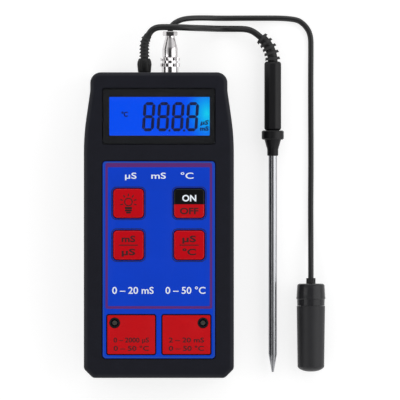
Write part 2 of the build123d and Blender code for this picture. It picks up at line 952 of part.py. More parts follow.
# Main board and what it carries on its back
with BuildPart() as main_board:
    board_outline = case_sketch(board_bottom, case_wall + board_inset)
    board_head = case_top - board_end_gap
    with BuildSketch(Plane.XY.offset(board_bottom)) as board_span:
        with Locations((0, board_head - case_length / 2)):
            Rectangle(case_width, case_length)
    extrude(board_outline & board_span.sketch, amount=board_thickness)
    notch = front_boss_diameter + 2 * boss_clearance
    post(notch / 2, board_bottom, board_top, case_screw_places, Mode.SUBTRACT)
    block(
        (2 * notch, notch),
        board_bottom,
        board_top,
        [(x + math.copysign(notch, x), y) for x, y in case_screw_places],
        Mode.SUBTRACT,
    )
    post(
        board_screw_diameter / 2 + screw_gap,
        board_bottom,
        board_top,
        board_screw_places,
        Mode.SUBTRACT,
    )
save(main_board, "main_board")

chip_underside = board_bottom - chip_gap
leg_span = chip_size + 2 * chip_leg_reach
with BuildPart() as controller_chip:
    block(
        (chip_size, chip_size),
        chip_underside - chip_thickness,
        chip_underside,
        from_keys([chip_place]),
    )
    for leg in range(chip_legs):
        along = (leg - (chip_legs - 1) / 2) * chip_leg_pitch
        block(
            (chip_leg, leg_span),
            board_bottom - chip_leg,
            board_bottom,
            from_keys([(chip_place[0] + along, chip_place[1])]),
        )
        block(
            (leg_span, chip_leg),
            board_bottom - chip_leg,
            board_bottom,
            from_keys([(chip_place[0], chip_place[1] + along)]),
        )
save(controller_chip, "controller_chip")

with BuildPart() as board_components:
    post(
        capacitor_size[0],
        board_bottom - capacitor_size[1],
        board_bottom,
        from_keys(capacitor_places),
    )
    rounded_block(
        crystal_size[:2],
        crystal_corner,
        board_bottom - crystal_size[2],
        board_bottom,
        from_keys(crystal_places),
    )
    for small_size, small_places in (
        (package_size, package_places),
        (resistor_size, resistor_places),
    ):
        block(small_size[:2], board_bottom - small_size[2], board_bottom, from_keys(small_places))
save(board_components, "board_components")

# Battery, its snap and its leads
with BuildPart() as battery:
    with BuildSketch(Plane.YZ.offset(battery_left)):
        with Locations((bay_y, battery_middle)):
            RectangleRounded(battery_width, battery_thickness, battery_corner)
    extrude(amount=battery_length)
    chamfer(battery.faces().filter_by(Axis.X).edges(), length=battery_edge)
    with BuildSketch(Plane.YZ.offset(battery_right)):
        with Locations((bay_y + terminal_spacing / 2, battery_middle)):
            Circle(terminal_diameter / 2)
        with Locations((bay_y - terminal_spacing / 2, battery_middle)):
            Circle(terminal_ring / 2)
            Circle(terminal_diameter / 2 + snap_gap, mode=Mode.SUBTRACT)
    extrude(amount=terminal_height)
save(battery, "battery")

snap_face = battery_right + terminal_height + snap_gap
with BuildPart() as battery_snap:
    with BuildSketch(Plane.YZ.offset(snap_face)):
        with Locations((bay_y, battery_middle)):
            RectangleRounded(snap_plate[1], snap_plate[2], snap_corner)
    extrude(amount=snap_plate[0])
    with BuildSketch(Plane.YZ.offset(snap_face)):
        with Locations((bay_y - terminal_spacing / 2, battery_middle)):
            Circle(terminal_diameter / 2)
        with Locations((bay_y + terminal_spacing / 2, battery_middle)):
            Circle(terminal_ring / 2)
            Circle(terminal_diameter / 2 + snap_gap, mode=Mode.SUBTRACT)
    extrude(amount=-(terminal_height - snap_gap))
save(battery_snap, "battery_snap")

with BuildPart() as battery_leads:
    lead_start = bay_y + snap_plate[1] / 2
    for way, rise in zip((-1, 1), battery_lead_rises):
        height = battery_middle + way * battery_lead_spacing / 2
        bent = [
            (lead_notch, lead_start, height),
            (lead_notch, bay_head + rise, height),
            (lead_notch, bay_head + rise, board_bottom),
        ]
        add(round_wire(bent, hookup_bend, battery_lead_diameter)[0])
save(battery_leads, "battery_leads")

# Bayonet socket: collar, barrel with two lugs, thread, nut and insulator
collar_end = case_top + collar_length
barrel_end = collar_end + barrel_length
thread_end = case_top - thread_length
with BuildPart() as bayonet_socket:
    spin(
        ec_axis,
        [
            (0, thread_end),
            (thread_radius, thread_end),
            (thread_radius, case_top),
            (collar_radius, case_top),
            (collar_radius, collar_end),
            (barrel_radius, collar_end),
            (barrel_radius, barrel_end),
            (barrel_bore, barrel_end),
            (barrel_bore, thread_end + socket_floor),
            (0, thread_end + socket_floor),
        ],
    )
    lug_plane = Plane.YZ.offset(ec_axis[0])
    for way in (-1, 1):
        with BuildSketch(lug_plane.offset(way * (barrel_bore + barrel_radius) / 2)) as lug:
            with Locations((barrel_end - lug_before_end, ec_axis[1])):
                Circle(lug_radius)
        extrude(lug.sketch, amount=way * (lug_reach - (barrel_bore + barrel_radius) / 2))
    bar(ec_axis, solder_pin[0], thread_end - solder_pin[1], thread_end)
save(bayonet_socket, "bayonet_socket")

with BuildPart() as socket_insulator:
    spin(
        ec_axis,
        [
            (0, thread_end + socket_floor),
            (barrel_bore - jack_fit, thread_end + socket_floor),
            (barrel_bore - jack_fit, collar_end - insulator_shelf),
            (plug_sleeve_bore - plug_gap, collar_end - insulator_shelf),
            (plug_sleeve_bore - plug_gap, barrel_end - insulator_set_back),
            (centre_bore, barrel_end - insulator_set_back),
            (centre_bore, collar_end - contact_depth),
            (0, collar_end - contact_depth),
        ],
    )
save(socket_insulator, "socket_insulator")

nut_seat = case_top - case_wall
with BuildPart() as socket_nut:
    with BuildSketch(across(ec_axis, nut_seat)):
        RegularPolygon(socket_nut_flats / 2, 6, major_radius=False)
        Circle(thread_radius + jack_fit, mode=Mode.SUBTRACT)
    extrude(amount=-socket_nut_height)
save(socket_nut, "socket_nut")

# Bayonet plug: body with its contact sleeve, knurled coupling ring, clamp nut, pin and insulator
ring_start = collar_end + plug_gap
ring_end = ring_start + ring_length
shoulder_start = ring_end + plug_gap
straight_end = shoulder_start + plug_straight
taper_end = straight_end + plug_taper
plug_end = taper_end + plug_tail
clip_start = barrel_end + plug_gap
lip_start = ring_end - ring_lip
clip_end = lip_start - plug_gap
sleeve_end = collar_end + sleeve_clearance
insulator_end = straight_end + insulator_tail
with BuildPart() as ec_plug_body:
    spin(
        ec_axis,
        [
            (plug_sleeve_bore, sleeve_end),
            (plug_sleeve_outer, sleeve_end),
            (plug_sleeve_outer, clip_start),
            (lug_reach, clip_start),
            (lug_reach, clip_end),
            (plug_neck, clip_end),
            (plug_neck, shoulder_start),
            (plug_shoulder - plug_edge, shoulder_start),
            (plug_shoulder, shoulder_start + plug_edge),
            (plug_shoulder, straight_end),
            (plug_tail_radius, taper_end),
            (plug_tail_radius, plug_end),
            (0, plug_end),
            (0, insulator_end),
            (plug_sleeve_bore, insulator_end),
        ],
    )
save(ec_plug_body, "ec_plug_body")

with BuildPart() as ec_plug_insulator:
    tube_between(
        ec_axis,
        centre_pin_radius + jack_fit,
        plug_sleeve_bore - jack_fit,
        barrel_end + insulator_clearance,
        insulator_end,
    )
save(ec_plug_insulator, "ec_plug_insulator")

with BuildPart() as ec_plug_pin:
    bar(ec_axis, centre_pin_radius, collar_end - pin_entry, insulator_end)
save(ec_plug_pin, "ec_plug_pin")

with BuildPart() as ec_plug_ring:
    spin(
        ec_axis,
        [
            (ring_bore, ring_start),
            (ring_band_radius, ring_start),
            (ring_band_radius, ring_end),
            (plug_neck + plug_fit, ring_end),
            (plug_neck + plug_fit, lip_start),
            (ring_bore, lip_start),
        ],
    )
    for band_start, band_end in knurl_bands:
        teeth = []
        for tooth in range(2 * knurl_count):
            reach = knurl_radius - (tooth % 2) * knurl_depth
            turn = math.pi * tooth / knurl_count
            teeth.append((reach * math.cos(turn), reach * math.sin(turn)))
        with BuildSketch(across(ec_axis, ring_start + band_start)) as knurl:
            Polygon(*teeth, align=None)
            Circle((ring_bore + ring_band_radius) / 2, mode=Mode.SUBTRACT)
        extrude(knurl.sketch, amount=band_end - band_start)
save(ec_plug_ring, "ec_plug_ring")

with BuildPart() as ec_plug_nut:
    with BuildSketch(across(ec_axis, plug_end)):
        RegularPolygon(clamp_nut_radius, 6)
    extrude(amount=clamp_nut_length)
    chamfer(ec_plug_nut.faces().filter_by(Axis.Y).edges(), length=clamp_nut_edge)
    bar(ec_axis, ec_lead_diameter / 2 + plug_gap, plug_end, plug_end + clamp_nut_length, Mode.SUBTRACT)
save(ec_plug_nut, "ec_plug_nut")

# Jack socket inside the case, and the jack plug with its ribbed boot
with BuildPart() as jack_socket:
    jack_back = nut_seat - jack_block[1]
    block(
        (jack_block[0], jack_block[1]),
        jack_axis[1] - jack_block[2] / 2,
        jack_axis[1] + jack_block[2] / 2,
        [(jack_axis[0], nut_seat - jack_block[1] / 2)],
    )
    bar(jack_axis, jack_bush_radius, nut_seat, case_top)
    bar(jack_axis, jack_pin_radius + plug_gap, jack_back + jack_end_wall, case_top, Mode.SUBTRACT)
    block(
        jack_tab[:2],
        jack_axis[1] - jack_tab[2] / 2,
        jack_axis[1] + jack_tab[2] / 2,
        [(jack_axis[0], jack_back - jack_tab[1] / 2)],
    )
save(jack_socket, "jack_socket")

jack_grip_start = case_top + plug_gap
jack_grip_end = jack_grip_start + jack_grip_length
with BuildPart() as jack_plug_grip:
    spin(
        jack_axis,
        [
            (0, jack_grip_start),
            (jack_grip_foot - jack_grip_edge, jack_grip_start),
            (jack_grip_foot, jack_grip_start + jack_grip_edge),
            (jack_grip_belly[0], jack_grip_end - jack_grip_belly[1]),
            (jack_grip_shoulder[0], jack_grip_end - jack_grip_shoulder[1]),
            (jack_grip_top, jack_grip_end - jack_grip_edge),
            (jack_grip_top - jack_grip_edge, jack_grip_end),
            (0, jack_grip_end),
        ],
    )
    with BuildSketch(across(jack_axis, jack_grip_start + jack_flute_margin)) as flutes:
        with PolarLocations(jack_flute[1], jack_flute_count):
            Circle(jack_flute[0])
    flute_length = jack_grip_length - 2 * jack_flute_margin
    extrude(flutes.sketch, amount=flute_length, mode=Mode.SUBTRACT)
save(jack_plug_grip, "jack_plug_grip")

with BuildPart() as jack_plug_pin:
    tip = jack_grip_start - jack_pin_length
    contacts = [(jack_pin_radius - drawn_in, tip + along) for drawn_in, along in jack_pin_tip]
    for groove_start, groove_end in jack_pin_grooves:
        contacts += [
            (jack_pin_radius, tip + groove_start),
            (jack_pin_radius - jack_pin_groove_depth, tip + groove_start),
            (jack_pin_radius - jack_pin_groove_depth, tip + groove_end),
            (jack_pin_radius, tip + groove_end),
        ]
    spin(
        jack_axis,
        [(0, tip), *contacts, (jack_pin_radius, jack_grip_start), (0, jack_grip_start)],
    )
save(jack_plug_pin, "jack_plug_pin")

with BuildPart() as socket_leads:
    for (x, height), start, rise in (
        (ec_axis, thread_end - solder_pin[1], case_top - ec_lead_rise),
        (jack_axis, jack_back - jack_tab[1], case_top - jack_lead_rise),
    ):
        bent = [(x, start, height), (x, rise, height), (x, rise, board_bottom)]
        add(round_wire(bent, hookup_bend, socket_lead_diameter)[0])
save(socket_leads, "socket_leads")


def ribbed_boot(path, core_radius, rib_radii, rib_row, entry_radius):
    """A boot swept along a path, with a row of ribs and a hole for its lead."""
    first, pitch, width = rib_row
    with BuildPart() as boot:
        with BuildSketch(Plane(origin=path @ 0, z_dir=path % 0)):
            Circle(core_radius)
        sweep(path=path)
        for number, rib_radius in enumerate(rib_radii):
            place = path.location_at(first + pitch * number, position_mode=PositionMode.LENGTH)
            with Locations(place):
                Cone(rib_radius, rib_radius - rib_slope, width)
        with Locations(path.location_at(1.0)):
            Cylinder(entry_radius, 2 * cord_entry, mode=Mode.SUBTRACT)
    return boot


def boot_path(start, height, straight, bend, turn):
    """A boot's path: straight up from its start, a bend, and a short straight end for its lead."""
    with BuildLine(Plane.XY.offset(height)) as line:
        first = Line(start, (start[0], start[1] + straight))
        arc = JernArc(start=first @ 1, tangent=first % 1, radius=bend[0], arc_size=turn * bend[1])
        Line(arc @ 1, arc @ 1 + (arc % 1) * boot_end)
    return line.wires()[0]


jack_boot_path = boot_path(
    (jack_axis[0], jack_grip_end), jack_axis[1], jack_boot_straight, jack_boot_bend, -1
)
jack_plug_boot = ribbed_boot(
    jack_boot_path,
    jack_boot_core,
    jack_boot_ribs,
    jack_boot_rib,
    entry_radius=temp_lead_diameter / 2 + jack_fit,
)
save(jack_plug_boot, "jack_plug_boot")

# Temperature probe: bent boot, faceted grip, nose with its collar, and the hollow steel rod
temp_probe = (temp_probe_x, collar_outer)
probe_boot_path = boot_path(
    (temp_probe_x, grip_top - boot_seat), collar_outer, boot_seat, probe_boot_bend, 1
)
temp_probe_boot = ribbed_boot(
    probe_boot_path,
    probe_boot_core,
    probe_boot_ribs,
    probe_boot_rib,
    entry_radius=temp_lead_diameter / 2 + jack_fit,
)
save(temp_probe_boot, "temp_probe_boot")

with BuildPart() as temp_probe_grip:
    with BuildSketch(across(temp_probe, grip_foot)) as facets:
        RegularPolygon(grip_flats / 2, 8, major_radius=False, rotation=22.5)
        fillet(facets.vertices(), radius=grip_edge)
    extrude(amount=grip_top - grip_foot)
    fillet(temp_probe_grip.faces().filter_by(Axis.Y).edges(), radius=grip_end_edge)
    spigot_hole = grip_foot + spigot_length + spigot_relief
    bar(temp_probe, spigot_radius + piece_fit, grip_foot, spigot_hole, Mode.SUBTRACT)
    bar(temp_probe, probe_boot_core + piece_fit, grip_top - boot_seat, grip_top, Mode.SUBTRACT)
save(temp_probe_grip, "temp_probe_grip")

with BuildPart() as temp_probe_nose:
    spin(
        temp_probe,
        [
            (rod_seat_radius + piece_fit, nose_foot),
            (nose_low_radius - nose_edge, nose_foot),
            (nose_low_radius, nose_foot + nose_edge),
            (nose_low_radius, nose_foot + nose_straight),
            (nose_top_radius, collar_low),
            (collar_outer - collar_edge, collar_low),
            (collar_outer, collar_low + collar_edge),
            (collar_outer, grip_foot - collar_edge),
            (collar_outer - collar_edge, grip_foot),
            (spigot_radius, grip_foot),
            (spigot_radius, grip_foot + spigot_length),
            (rod_seat_radius + piece_fit, grip_foot + spigot_length),
        ],
    )
save(temp_probe_nose, "temp_probe_nose")

with BuildPart() as temp_probe_rod:
    rod_top = grip_foot + spigot_length
    spin(
        temp_probe,
        [
            (0, rod_tip),
            (rod_tip_radius, rod_tip),
            (rod_radius, rod_taper_start),
            (rod_radius, nose_foot),
            (rod_seat_radius, nose_foot),
            (rod_seat_radius, rod_top),
            (rod_bore, rod_top),
            (rod_bore, rod_taper_start + rod_plug),
            (0, rod_taper_start + rod_plug),
        ],
    )
save(temp_probe_rod, "temp_probe_rod")

with BuildPart() as thermistor:
    bead_foot = rod_taper_start + rod_plug
    bar(temp_probe, rod_bore - piece_fit, bead_foot, bead_foot + thermistor_length)
save(thermistor, "thermistor")

# Conductivity probe: gland, head, electrode stem and pins, sealing ring and push-on cap
ec_probe = (ec_probe_x, lip_radius)
with BuildPart() as ec_probe_gland:
    gland_foot = head_top - gland_seat
    bar(ec_probe, gland_radius, gland_foot, gland_top)
    gland_hole = ec_lead_diameter / 2 + plug_gap
    bar(ec_probe, gland_hole, gland_top - gland_entry, gland_top, Mode.SUBTRACT)
    with BuildSketch(across(ec_probe, head_top + gland_flute_start)) as gland_flutes:
        with PolarLocations(gland_flute[1], gland_flute_count):
            Circle(gland_flute[0])
    extrude(gland_flutes.sketch, amount=gland_top - head_top, mode=Mode.SUBTRACT)
save(ec_probe_gland, "ec_probe_gland")

spigot_top = head_foot + stem_spigot[1]
with BuildPart() as ec_probe_head:
    spin(
        ec_probe,
        [
            (0, gland_foot),
            (gland_radius + piece_fit, gland_foot),
            (gland_radius + piece_fit, head_top),
            (head_radius - head_round[0], head_top),
            (head_radius - head_round[1], head_top - head_round[1]),
            (head_radius, head_top - head_round[0]),
            (lip_radius - head_flare, head_lip + head_lip_slope),
            (lip_radius, head_lip),
            (lip_radius, head_lip - head_lip_width),
            (head_radius + head_flare, head_lip - head_lip_width - head_lip_slope),
            (head_radius, head_foot),
            (stem_spigot[0] + piece_fit, head_foot),
            (stem_spigot[0] + piece_fit, spigot_top),
            (0, spigot_top),
        ],
    )
save(ec_probe_head, "ec_probe_head")

seal_middle = head_foot - seal_below_head
groove = stem_radius - seal_groove[0]
groove_high = seal_middle + seal_groove[1] / 2
groove_low = seal_middle - seal_groove[1] / 2
pocket_floor = stem_foot + stem_pocket[1]
with BuildPart() as ec_electrode_stem:
    spin(
        ec_probe,
        [
            (0, spigot_top),
            (stem_spigot[0], spigot_top),
            (stem_spigot[0], head_foot),
            (stem_radius, head_foot),
            (stem_radius, groove_high),
            (groove, groove_high),
            (groove, groove_low),
            (stem_radius, groove_low),
            (stem_radius, stem_foot + stem_edge),
            (stem_radius - stem_edge, stem_foot),
            (stem_pocket[0], stem_foot),
            (stem_pocket[0], pocket_floor),
            (0, pocket_floor),
        ],
    )
    with BuildSketch(Plane.YZ.offset(ec_probe_x - stem_radius - overrun)) as vents:
        with Locations((pocket_floor - vent_below_pocket, lip_radius)):
            Circle(vent_radius)
    extrude(vents.sketch, amount=2 * (stem_radius + overrun), mode=Mode.SUBTRACT)
save(ec_electrode_stem, "ec_electrode_stem")

with BuildPart() as ec_electrodes:
    for way in (-1, 1):
        electrode = (ec_probe_x, lip_radius + way * electrode_offset)
        bar(electrode, electrode_radius, pocket_floor - electrode_length, pocket_floor)
save(ec_electrodes, "ec_electrodes")

with BuildPart() as ec_cap_seal:
    with BuildSketch(Plane(origin=(ec_probe_x, 0, lip_radius))):
        with Locations((groove + piece_fit + seal_section / 2, seal_middle)):
            Circle(seal_section / 2)
    revolve(axis=Axis((ec_probe_x, 0, lip_radius), (0, 1, 0)))
save(ec_cap_seal, "ec_cap_seal")

cap_top = head_foot - plug_gap
cap_side_foot = cap_foot + cap_dome
cap_inside = cap_foot + cap_floor
with BuildPart() as ec_probe_cap:
    with BuildSketch(Plane(origin=(ec_probe_x, 0, lip_radius))):
        with BuildLine():
            Polyline(
                (cap_bore, cap_inside),
                (cap_bore, cap_top),
                (cap_top_radius - cap_edge, cap_top),
                (cap_top_radius, cap_top - cap_edge),
                (cap_low_radius, cap_side_foot + cap_foot_edge[1]),
                (cap_low_radius - cap_foot_edge[0], cap_side_foot),
            )
            Spline(
                (cap_low_radius - cap_foot_edge[0], cap_side_foot),
                (0, cap_foot),
                tangents=[cap_dome_start, (-1, 0)],
            )
            Polyline((0, cap_foot), (0, cap_inside), (cap_bore, cap_inside))
        make_face()
    revolve(axis=Axis((ec_probe_x, 0, lip_radius), (0, 1, 0)))
save(ec_probe_cap, "ec_probe_cap")

# The two leads
cord("temp_lead", temp_lead_route, temp_lead_diameter)
cord("ec_lead", ec_lead_route, ec_lead_diameter)
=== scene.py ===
"""Finishes, printed marks, lit display and leads of a handheld conductivity tester.

The tester lies on its back: +X is its right, +Y points to the end with the sockets and +Z comes
out of the front. Lengths are metres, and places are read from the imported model.
"""

import math

import bmesh
import bpy
import numpy as np
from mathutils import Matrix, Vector


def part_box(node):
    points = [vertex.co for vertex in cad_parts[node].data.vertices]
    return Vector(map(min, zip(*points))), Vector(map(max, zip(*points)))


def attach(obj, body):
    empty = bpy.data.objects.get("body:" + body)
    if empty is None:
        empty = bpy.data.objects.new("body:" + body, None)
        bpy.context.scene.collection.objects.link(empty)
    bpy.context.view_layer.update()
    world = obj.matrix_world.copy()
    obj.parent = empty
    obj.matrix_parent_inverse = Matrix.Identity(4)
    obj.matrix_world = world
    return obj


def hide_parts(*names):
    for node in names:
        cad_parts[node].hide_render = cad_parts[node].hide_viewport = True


bl_info = {
    "name": "Conductivity tester",
    "version": (1, 0, 0),
    "blender": (4, 5, 0),
    "location": "View3D > Sidebar > Tester",
    "description": "Dresses the packed conductivity tester with finishes, prints and leads",
    "category": "Object",
}

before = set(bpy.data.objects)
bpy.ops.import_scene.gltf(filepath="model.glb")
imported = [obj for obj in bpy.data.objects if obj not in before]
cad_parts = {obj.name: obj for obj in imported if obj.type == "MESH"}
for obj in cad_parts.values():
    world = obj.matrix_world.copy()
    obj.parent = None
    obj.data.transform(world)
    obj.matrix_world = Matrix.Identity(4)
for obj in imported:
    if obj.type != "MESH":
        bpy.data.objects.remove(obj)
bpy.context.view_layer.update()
MM = 0.001

# Photograph's frame: what the camera shows from side to side, and the point at its middle
VIEW_WIDTH = 188 * MM
VIEW_CENTRE = (19.25 * MM, 11.75 * MM)
CAMERA_HEIGHT = 6.0
SENSOR_WIDTH = 36.0

# A capital letter's height as a share of the built-in font's size
CAPITAL_SHARE = 0.729

# Points closer than these are joined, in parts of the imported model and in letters
PART_WELD = 1e-6
LETTER_WELD = 1e-7

# How strongly the lit display and the floor shine by themselves
LIT_STRENGTH = 0.95
FLOOR_STRENGTH = 0.72

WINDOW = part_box("lcd_window")
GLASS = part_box("lcd_glass")
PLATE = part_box("faceplate")
KEYS = {name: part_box(f"key_{name}") for name in ("light", "power", "units", "mode")}
KEY_SPAN = (14.1 * MM, 13.5 * MM)  # the part of a key that stands above the faceplate
PLATES = {side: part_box(f"calibration_plate_{side}") for side in ("left", "right")}
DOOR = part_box("battery_door")
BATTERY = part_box("battery")


def linear(code, alpha=1.0):
    """An sRGB hex colour as linear red, green, blue and alpha."""
    values = [int(code[k : k + 2], 16) / 255 for k in (0, 2, 4)]
    bent = [v / 12.92 if v <= 0.04045 else ((v + 0.055) / 1.055) ** 2.4 for v in values]
    return (*bent, alpha)


def length_property(name, description, millimetres):
    """A length that a user may change, given in millimetres and kept in metres."""
    return bpy.props.FloatProperty(
        name=name,
        description=description,
        default=millimetres * MM,
        min=0.0,
        unit="LENGTH",
        precision=5,
    )


def colour_property(name, description, code):
    """A colour that a user may change, given as an sRGB hex value."""
    return bpy.props.FloatVectorProperty(
        name=name,
        description=description,
        subtype="COLOR",
        size=4,
        min=0.0,
        max=1.0,
        default=linear(code),
    )


class TesterSizes(bpy.types.PropertyGroup):
    """Sizes of the printed and moulded detail."""

    ink: length_property("Ink", "Thickness of a printed layer", 0.03)
    view_width: length_property("View width", "Lit width of the display", 46.9)
    view_height: length_property("View height", "Lit height of the display", 18.0)
    digit_height: length_property("Digit height", "Height of a display digit", 13.5)
    digit_width: length_property("Digit width", "Width of a display digit", 5.6)
    digit_pitch: length_property("Digit pitch", "From one display digit to the next", 6.8)
    stroke: length_property("Stroke", "Width of a display segment", 1.45)
    frame_side: length_property("Frame side", "Width of the frame line at the sides", 1.1)
    frame_head: length_property("Frame head", "Width of the frame line at its head", 2.0)
    frame_foot: length_property("Frame foot", "Width of the frame line at its foot", 1.2)
    title_capital: length_property("Title capital", "Height of the upper line's capitals", 2.9)
    range_capital: length_property("Range capital", "Height of the lower line's capitals", 3.3)
    key_capital: length_property("Key capital", "Height of the capitals on the keys", 3.0)
    # Painted shade: width of the dark ring that stands for the shadow in the gap round a key
    key_gap_shade: length_property("Key line", "Width of the dark line round a key's opening", 0.35)
    plate_capital: length_property("Plate capital", "Height of a calibration plate's capitals", 2.3)
    edge: length_property("Edge", "Width of the broken edge of moulded plates", 0.22)


class TesterColours(bpy.types.PropertyGroup):
    """Colours of the finishes and inks."""

    case: colour_property("Case", "Moulded case halves", "13141d")
    film: colour_property("Film", "Printed film of the faceplate", "003cc6")
    # Painted highlight: a lighter, greyer strip that stands for light on the faceplate's broken
    # edge
    rim_highlight: colour_property("Film rim", "Bare strip round the faceplate", "2450a4")
    frame_line: colour_property("Frame line", "Printed frame of the faceplate", "5a1c72")
    key: colour_property("Key", "Moulded keys", "bd0010")
    key_dark: colour_property("Key dark", "Dark half of the power key", "020203")
    # Painted shade: colour of the dark ring that stands for the shadow in the gap round a key
    key_gap_shade: colour_property("Key line", "Dark line round each key's opening", "0a0f3c")
    mark: colour_property("Mark", "Dark print on the keys", "3c040a")
    plate: colour_property("Plate", "Calibration plates", "c0000c")
    white_ink: colour_property("White ink", "Lines printed in white", "e8f0fb")
    lit: colour_property("Lit", "Display where the backlight is even", "0054fd")
    glow: colour_property("Glow", "Display beside the lamp", "14e0fc")
    segment: colour_property("Segment", "Dark display segments", "021243")
    lead: colour_property("Lead", "Jackets of both leads", "121213")
    grip: colour_property("Grip", "Temperature probe's grip", "18181a")
    head: colour_property("Head", "Conductivity probe's head", "29292b")
    cap: colour_property("Cap", "Conductivity probe's cap", "2d2d2f")


def add_node(tree, kind, inputs=None, **settings):
    """Add a node. Settings are its own attributes, and inputs are values or sockets to link."""
    node = tree.nodes.new(kind)
    for name, value in settings.items():
        setattr(node, name, value)
    for name, value in (inputs or {}).items():
        if isinstance(value, bpy.types.NodeSocket):
            tree.links.new(value, node.inputs[name])
        else:
            node.inputs[name].default_value = value
    return node


def new_material(name, **shader_values):
    """A material with one Principled shader. Returns it, its tree, the shader and the place."""
    material = bpy.data.materials.new(name)
    material.use_nodes = True
    tree = material.node_tree
    tree.nodes.clear()
    values = {key.replace("_", " "): value for key, value in shader_values.items()}
    shader = add_node(tree, "ShaderNodeBsdfPrincipled", values)
    add_node(tree, "ShaderNodeOutputMaterial", {"Surface": shader.outputs["BSDF"]})
    place = add_node(tree, "ShaderNodeTexCoord").outputs["Object"]
    return material, tree, shader, place


def link_shader(tree, shader, **sockets):
    """Link sockets to the shader's inputs, named with _ for a space."""
    for name, socket in sockets.items():
        tree.links.new(socket, shader.inputs[name.replace("_", " ")])


def shade(colour, factor):
    """A colour made darker or lighter by a factor."""
    return (*(min(1.0, channel * factor) for channel in colour[:3]), 1.0)


def mottle(tree, place, colour, patch, spread):
    """A colour that drifts by a share either way over patches of a size. Returns its socket."""
    noise = add_node(
        tree, "ShaderNodeTexNoise", {"Vector": place, "Scale": 1 / patch, "Detail": 3.0}
    )
    mix = add_node(
        tree,
        "ShaderNodeMix",
        {0: noise.outputs["Fac"], 6: shade(colour, 1 - spread), 7: shade(colour, 1 + spread)},
        data_type="RGBA",
    )
    return mix.outputs[2]


def relief(tree, place, grain, depth, stretch=(1, 1, 1), detail=3.0):
    """A bumpy surface with grains of a size and a depth. Returns its normal and its height."""
    scaled = add_node(
        tree,
        "ShaderNodeMapping",
        {"Vector": place, "Scale": tuple(share / grain for share in stretch)},
    )
    noise = add_node(
        tree,
        "ShaderNodeTexNoise",
        {"Vector": scaled.outputs["Vector"], "Scale": 1.0, "Detail": detail},
    )
    bump = add_node(
        tree,
        "ShaderNodeBump",
        {"Height": noise.outputs["Fac"], "Strength": 1.0, "Distance": depth},
    )
    return bump.outputs["Normal"], noise.outputs["Fac"]


def vary_roughness(tree, shader, height, smoothest, roughest):
    """Let a finish's roughness follow the height of its relief."""
    span = {"Value": height, "To Min": smoothest, "To Max": roughest}
    rough = add_node(tree, "ShaderNodeMapRange", span)
    tree.links.new(rough.outputs["Result"], shader.inputs["Roughness"])


def moulded_plastic(name, colour, roughness, grain, depth, spread=0.12, specular=0.22):
    """Injection-moulded ABS from an etched mould: a fine grain breaks its sheen up."""
    material, tree, shader, place = new_material(
        name, Roughness=roughness, Specular_IOR_Level=specular
    )
    tone = mottle(tree, place, colour, 6 * grain, spread)
    normal, height = relief(tree, place, grain, depth)
    link_shader(tree, shader, Base_Color=tone, Normal=normal)
    vary_roughness(tree, shader, height, roughness - 0.06, roughness + 0.08)
    return material


def screen_ink(name, colour, roughness=0.45, lit=0.0):
    """Screen-printed ink: a thin flat coat, slightly uneven where the mesh laid it down."""
    # lit sets a glow; on the display's dark segments it is partly the backlight and partly painted
    # light
    material, tree, shader, place = new_material(
        name, Roughness=roughness, Emission_Color=colour, Emission_Strength=lit
    )
    tone = mottle(tree, place, colour, 0.5 * MM, 0.08)
    normal, _ = relief(tree, place, 0.2 * MM, 0.002 * MM)
    link_shader(tree, shader, Base_Color=tone, Normal=normal)
    return material


def printed_film(name, colour):
    """Polyester film printed on its back: even colour under a satin, faintly wavy surface."""
    material, tree, shader, place = new_material(
        name, Roughness=0.4, Specular_IOR_Level=0.25
    )
    tone = mottle(tree, place, colour, 14 * MM, 0.07)
    normal, _ = relief(tree, place, 1.6 * MM, 0.008 * MM)
    link_shader(tree, shader, Base_Color=tone, Normal=normal)
    return material


def plated_metal(name, code, roughness, wear=0.06):
    """Bright nickel plate on turned brass: mirror-like, with faint turning and handling marks."""
    material, tree, shader, place = new_material(name, Metallic=1.0)
    tone = mottle(tree, place, linear(code), 2.5 * MM, wear)
    normal, height = relief(tree, place, 0.6 * MM, 0.0015 * MM)
    link_shader(tree, shader, Base_Color=tone, Normal=normal)
    vary_roughness(tree, shader, height, roughness * 0.7, roughness * 1.5)
    return material


def drawn_steel(name, code):
    """Stainless tube drawn through a die: long fine scratches run along it."""
    material, tree, shader, place = new_material(name, Metallic=1.0)
    lengthwise = (1, 0.02, 1)
    normal, height = relief(tree, place, 0.5 * MM, 0.002 * MM, lengthwise)
    tone = add_node(
        tree,
        "ShaderNodeMix",
        {0: height, 6: shade(linear(code), 0.7), 7: shade(linear(code), 1.2)},
        data_type="RGBA",
    )
    link_shader(tree, shader, Base_Color=tone.outputs[2], Normal=normal)
    vary_roughness(tree, shader, height, 0.18, 0.38)
    return material


def soft_rubber(name, colour, roughness=0.55, grain=0.5 * MM):
    """Moulded soft PVC: dull, with a low broad sheen and handling smears."""
    material, tree, shader, place = new_material(
        name, Roughness=roughness, Specular_IOR_Level=0.4
    )
    tone = mottle(tree, place, colour, 3 * MM, 0.15)
    normal, _ = relief(tree, place, grain, 0.006 * MM)
    link_shader(tree, shader, Base_Color=tone, Normal=normal)
    return material


def lead_jacket(name, colour):
    """Extruded PVC jacket: satin, with faint draw lines and a slight wave along its length."""
    material, tree, shader, place = new_material(
        name, Roughness=0.42, Specular_IOR_Level=0.45
    )
    tone = mottle(tree, place, colour, 5 * MM, 0.12)
    normal, _ = relief(tree, place, 1.4 * MM, 0.01 * MM)
    link_shader(tree, shader, Base_Color=tone, Normal=normal)
    return material


def clear_acrylic(name):
    """Cast acrylic window: clear, with a hard glossy face."""
    material, tree, shader, place = new_material(
        name, Roughness=0.02, IOR=1.49, Transmission_Weight=1.0, Specular_IOR_Level=0.2
    )
    tone = mottle(tree, place, linear("f4f7ff"), 20 * MM, 0.02)
    tree.links.new(tone, shader.inputs["Base Color"])
    return material


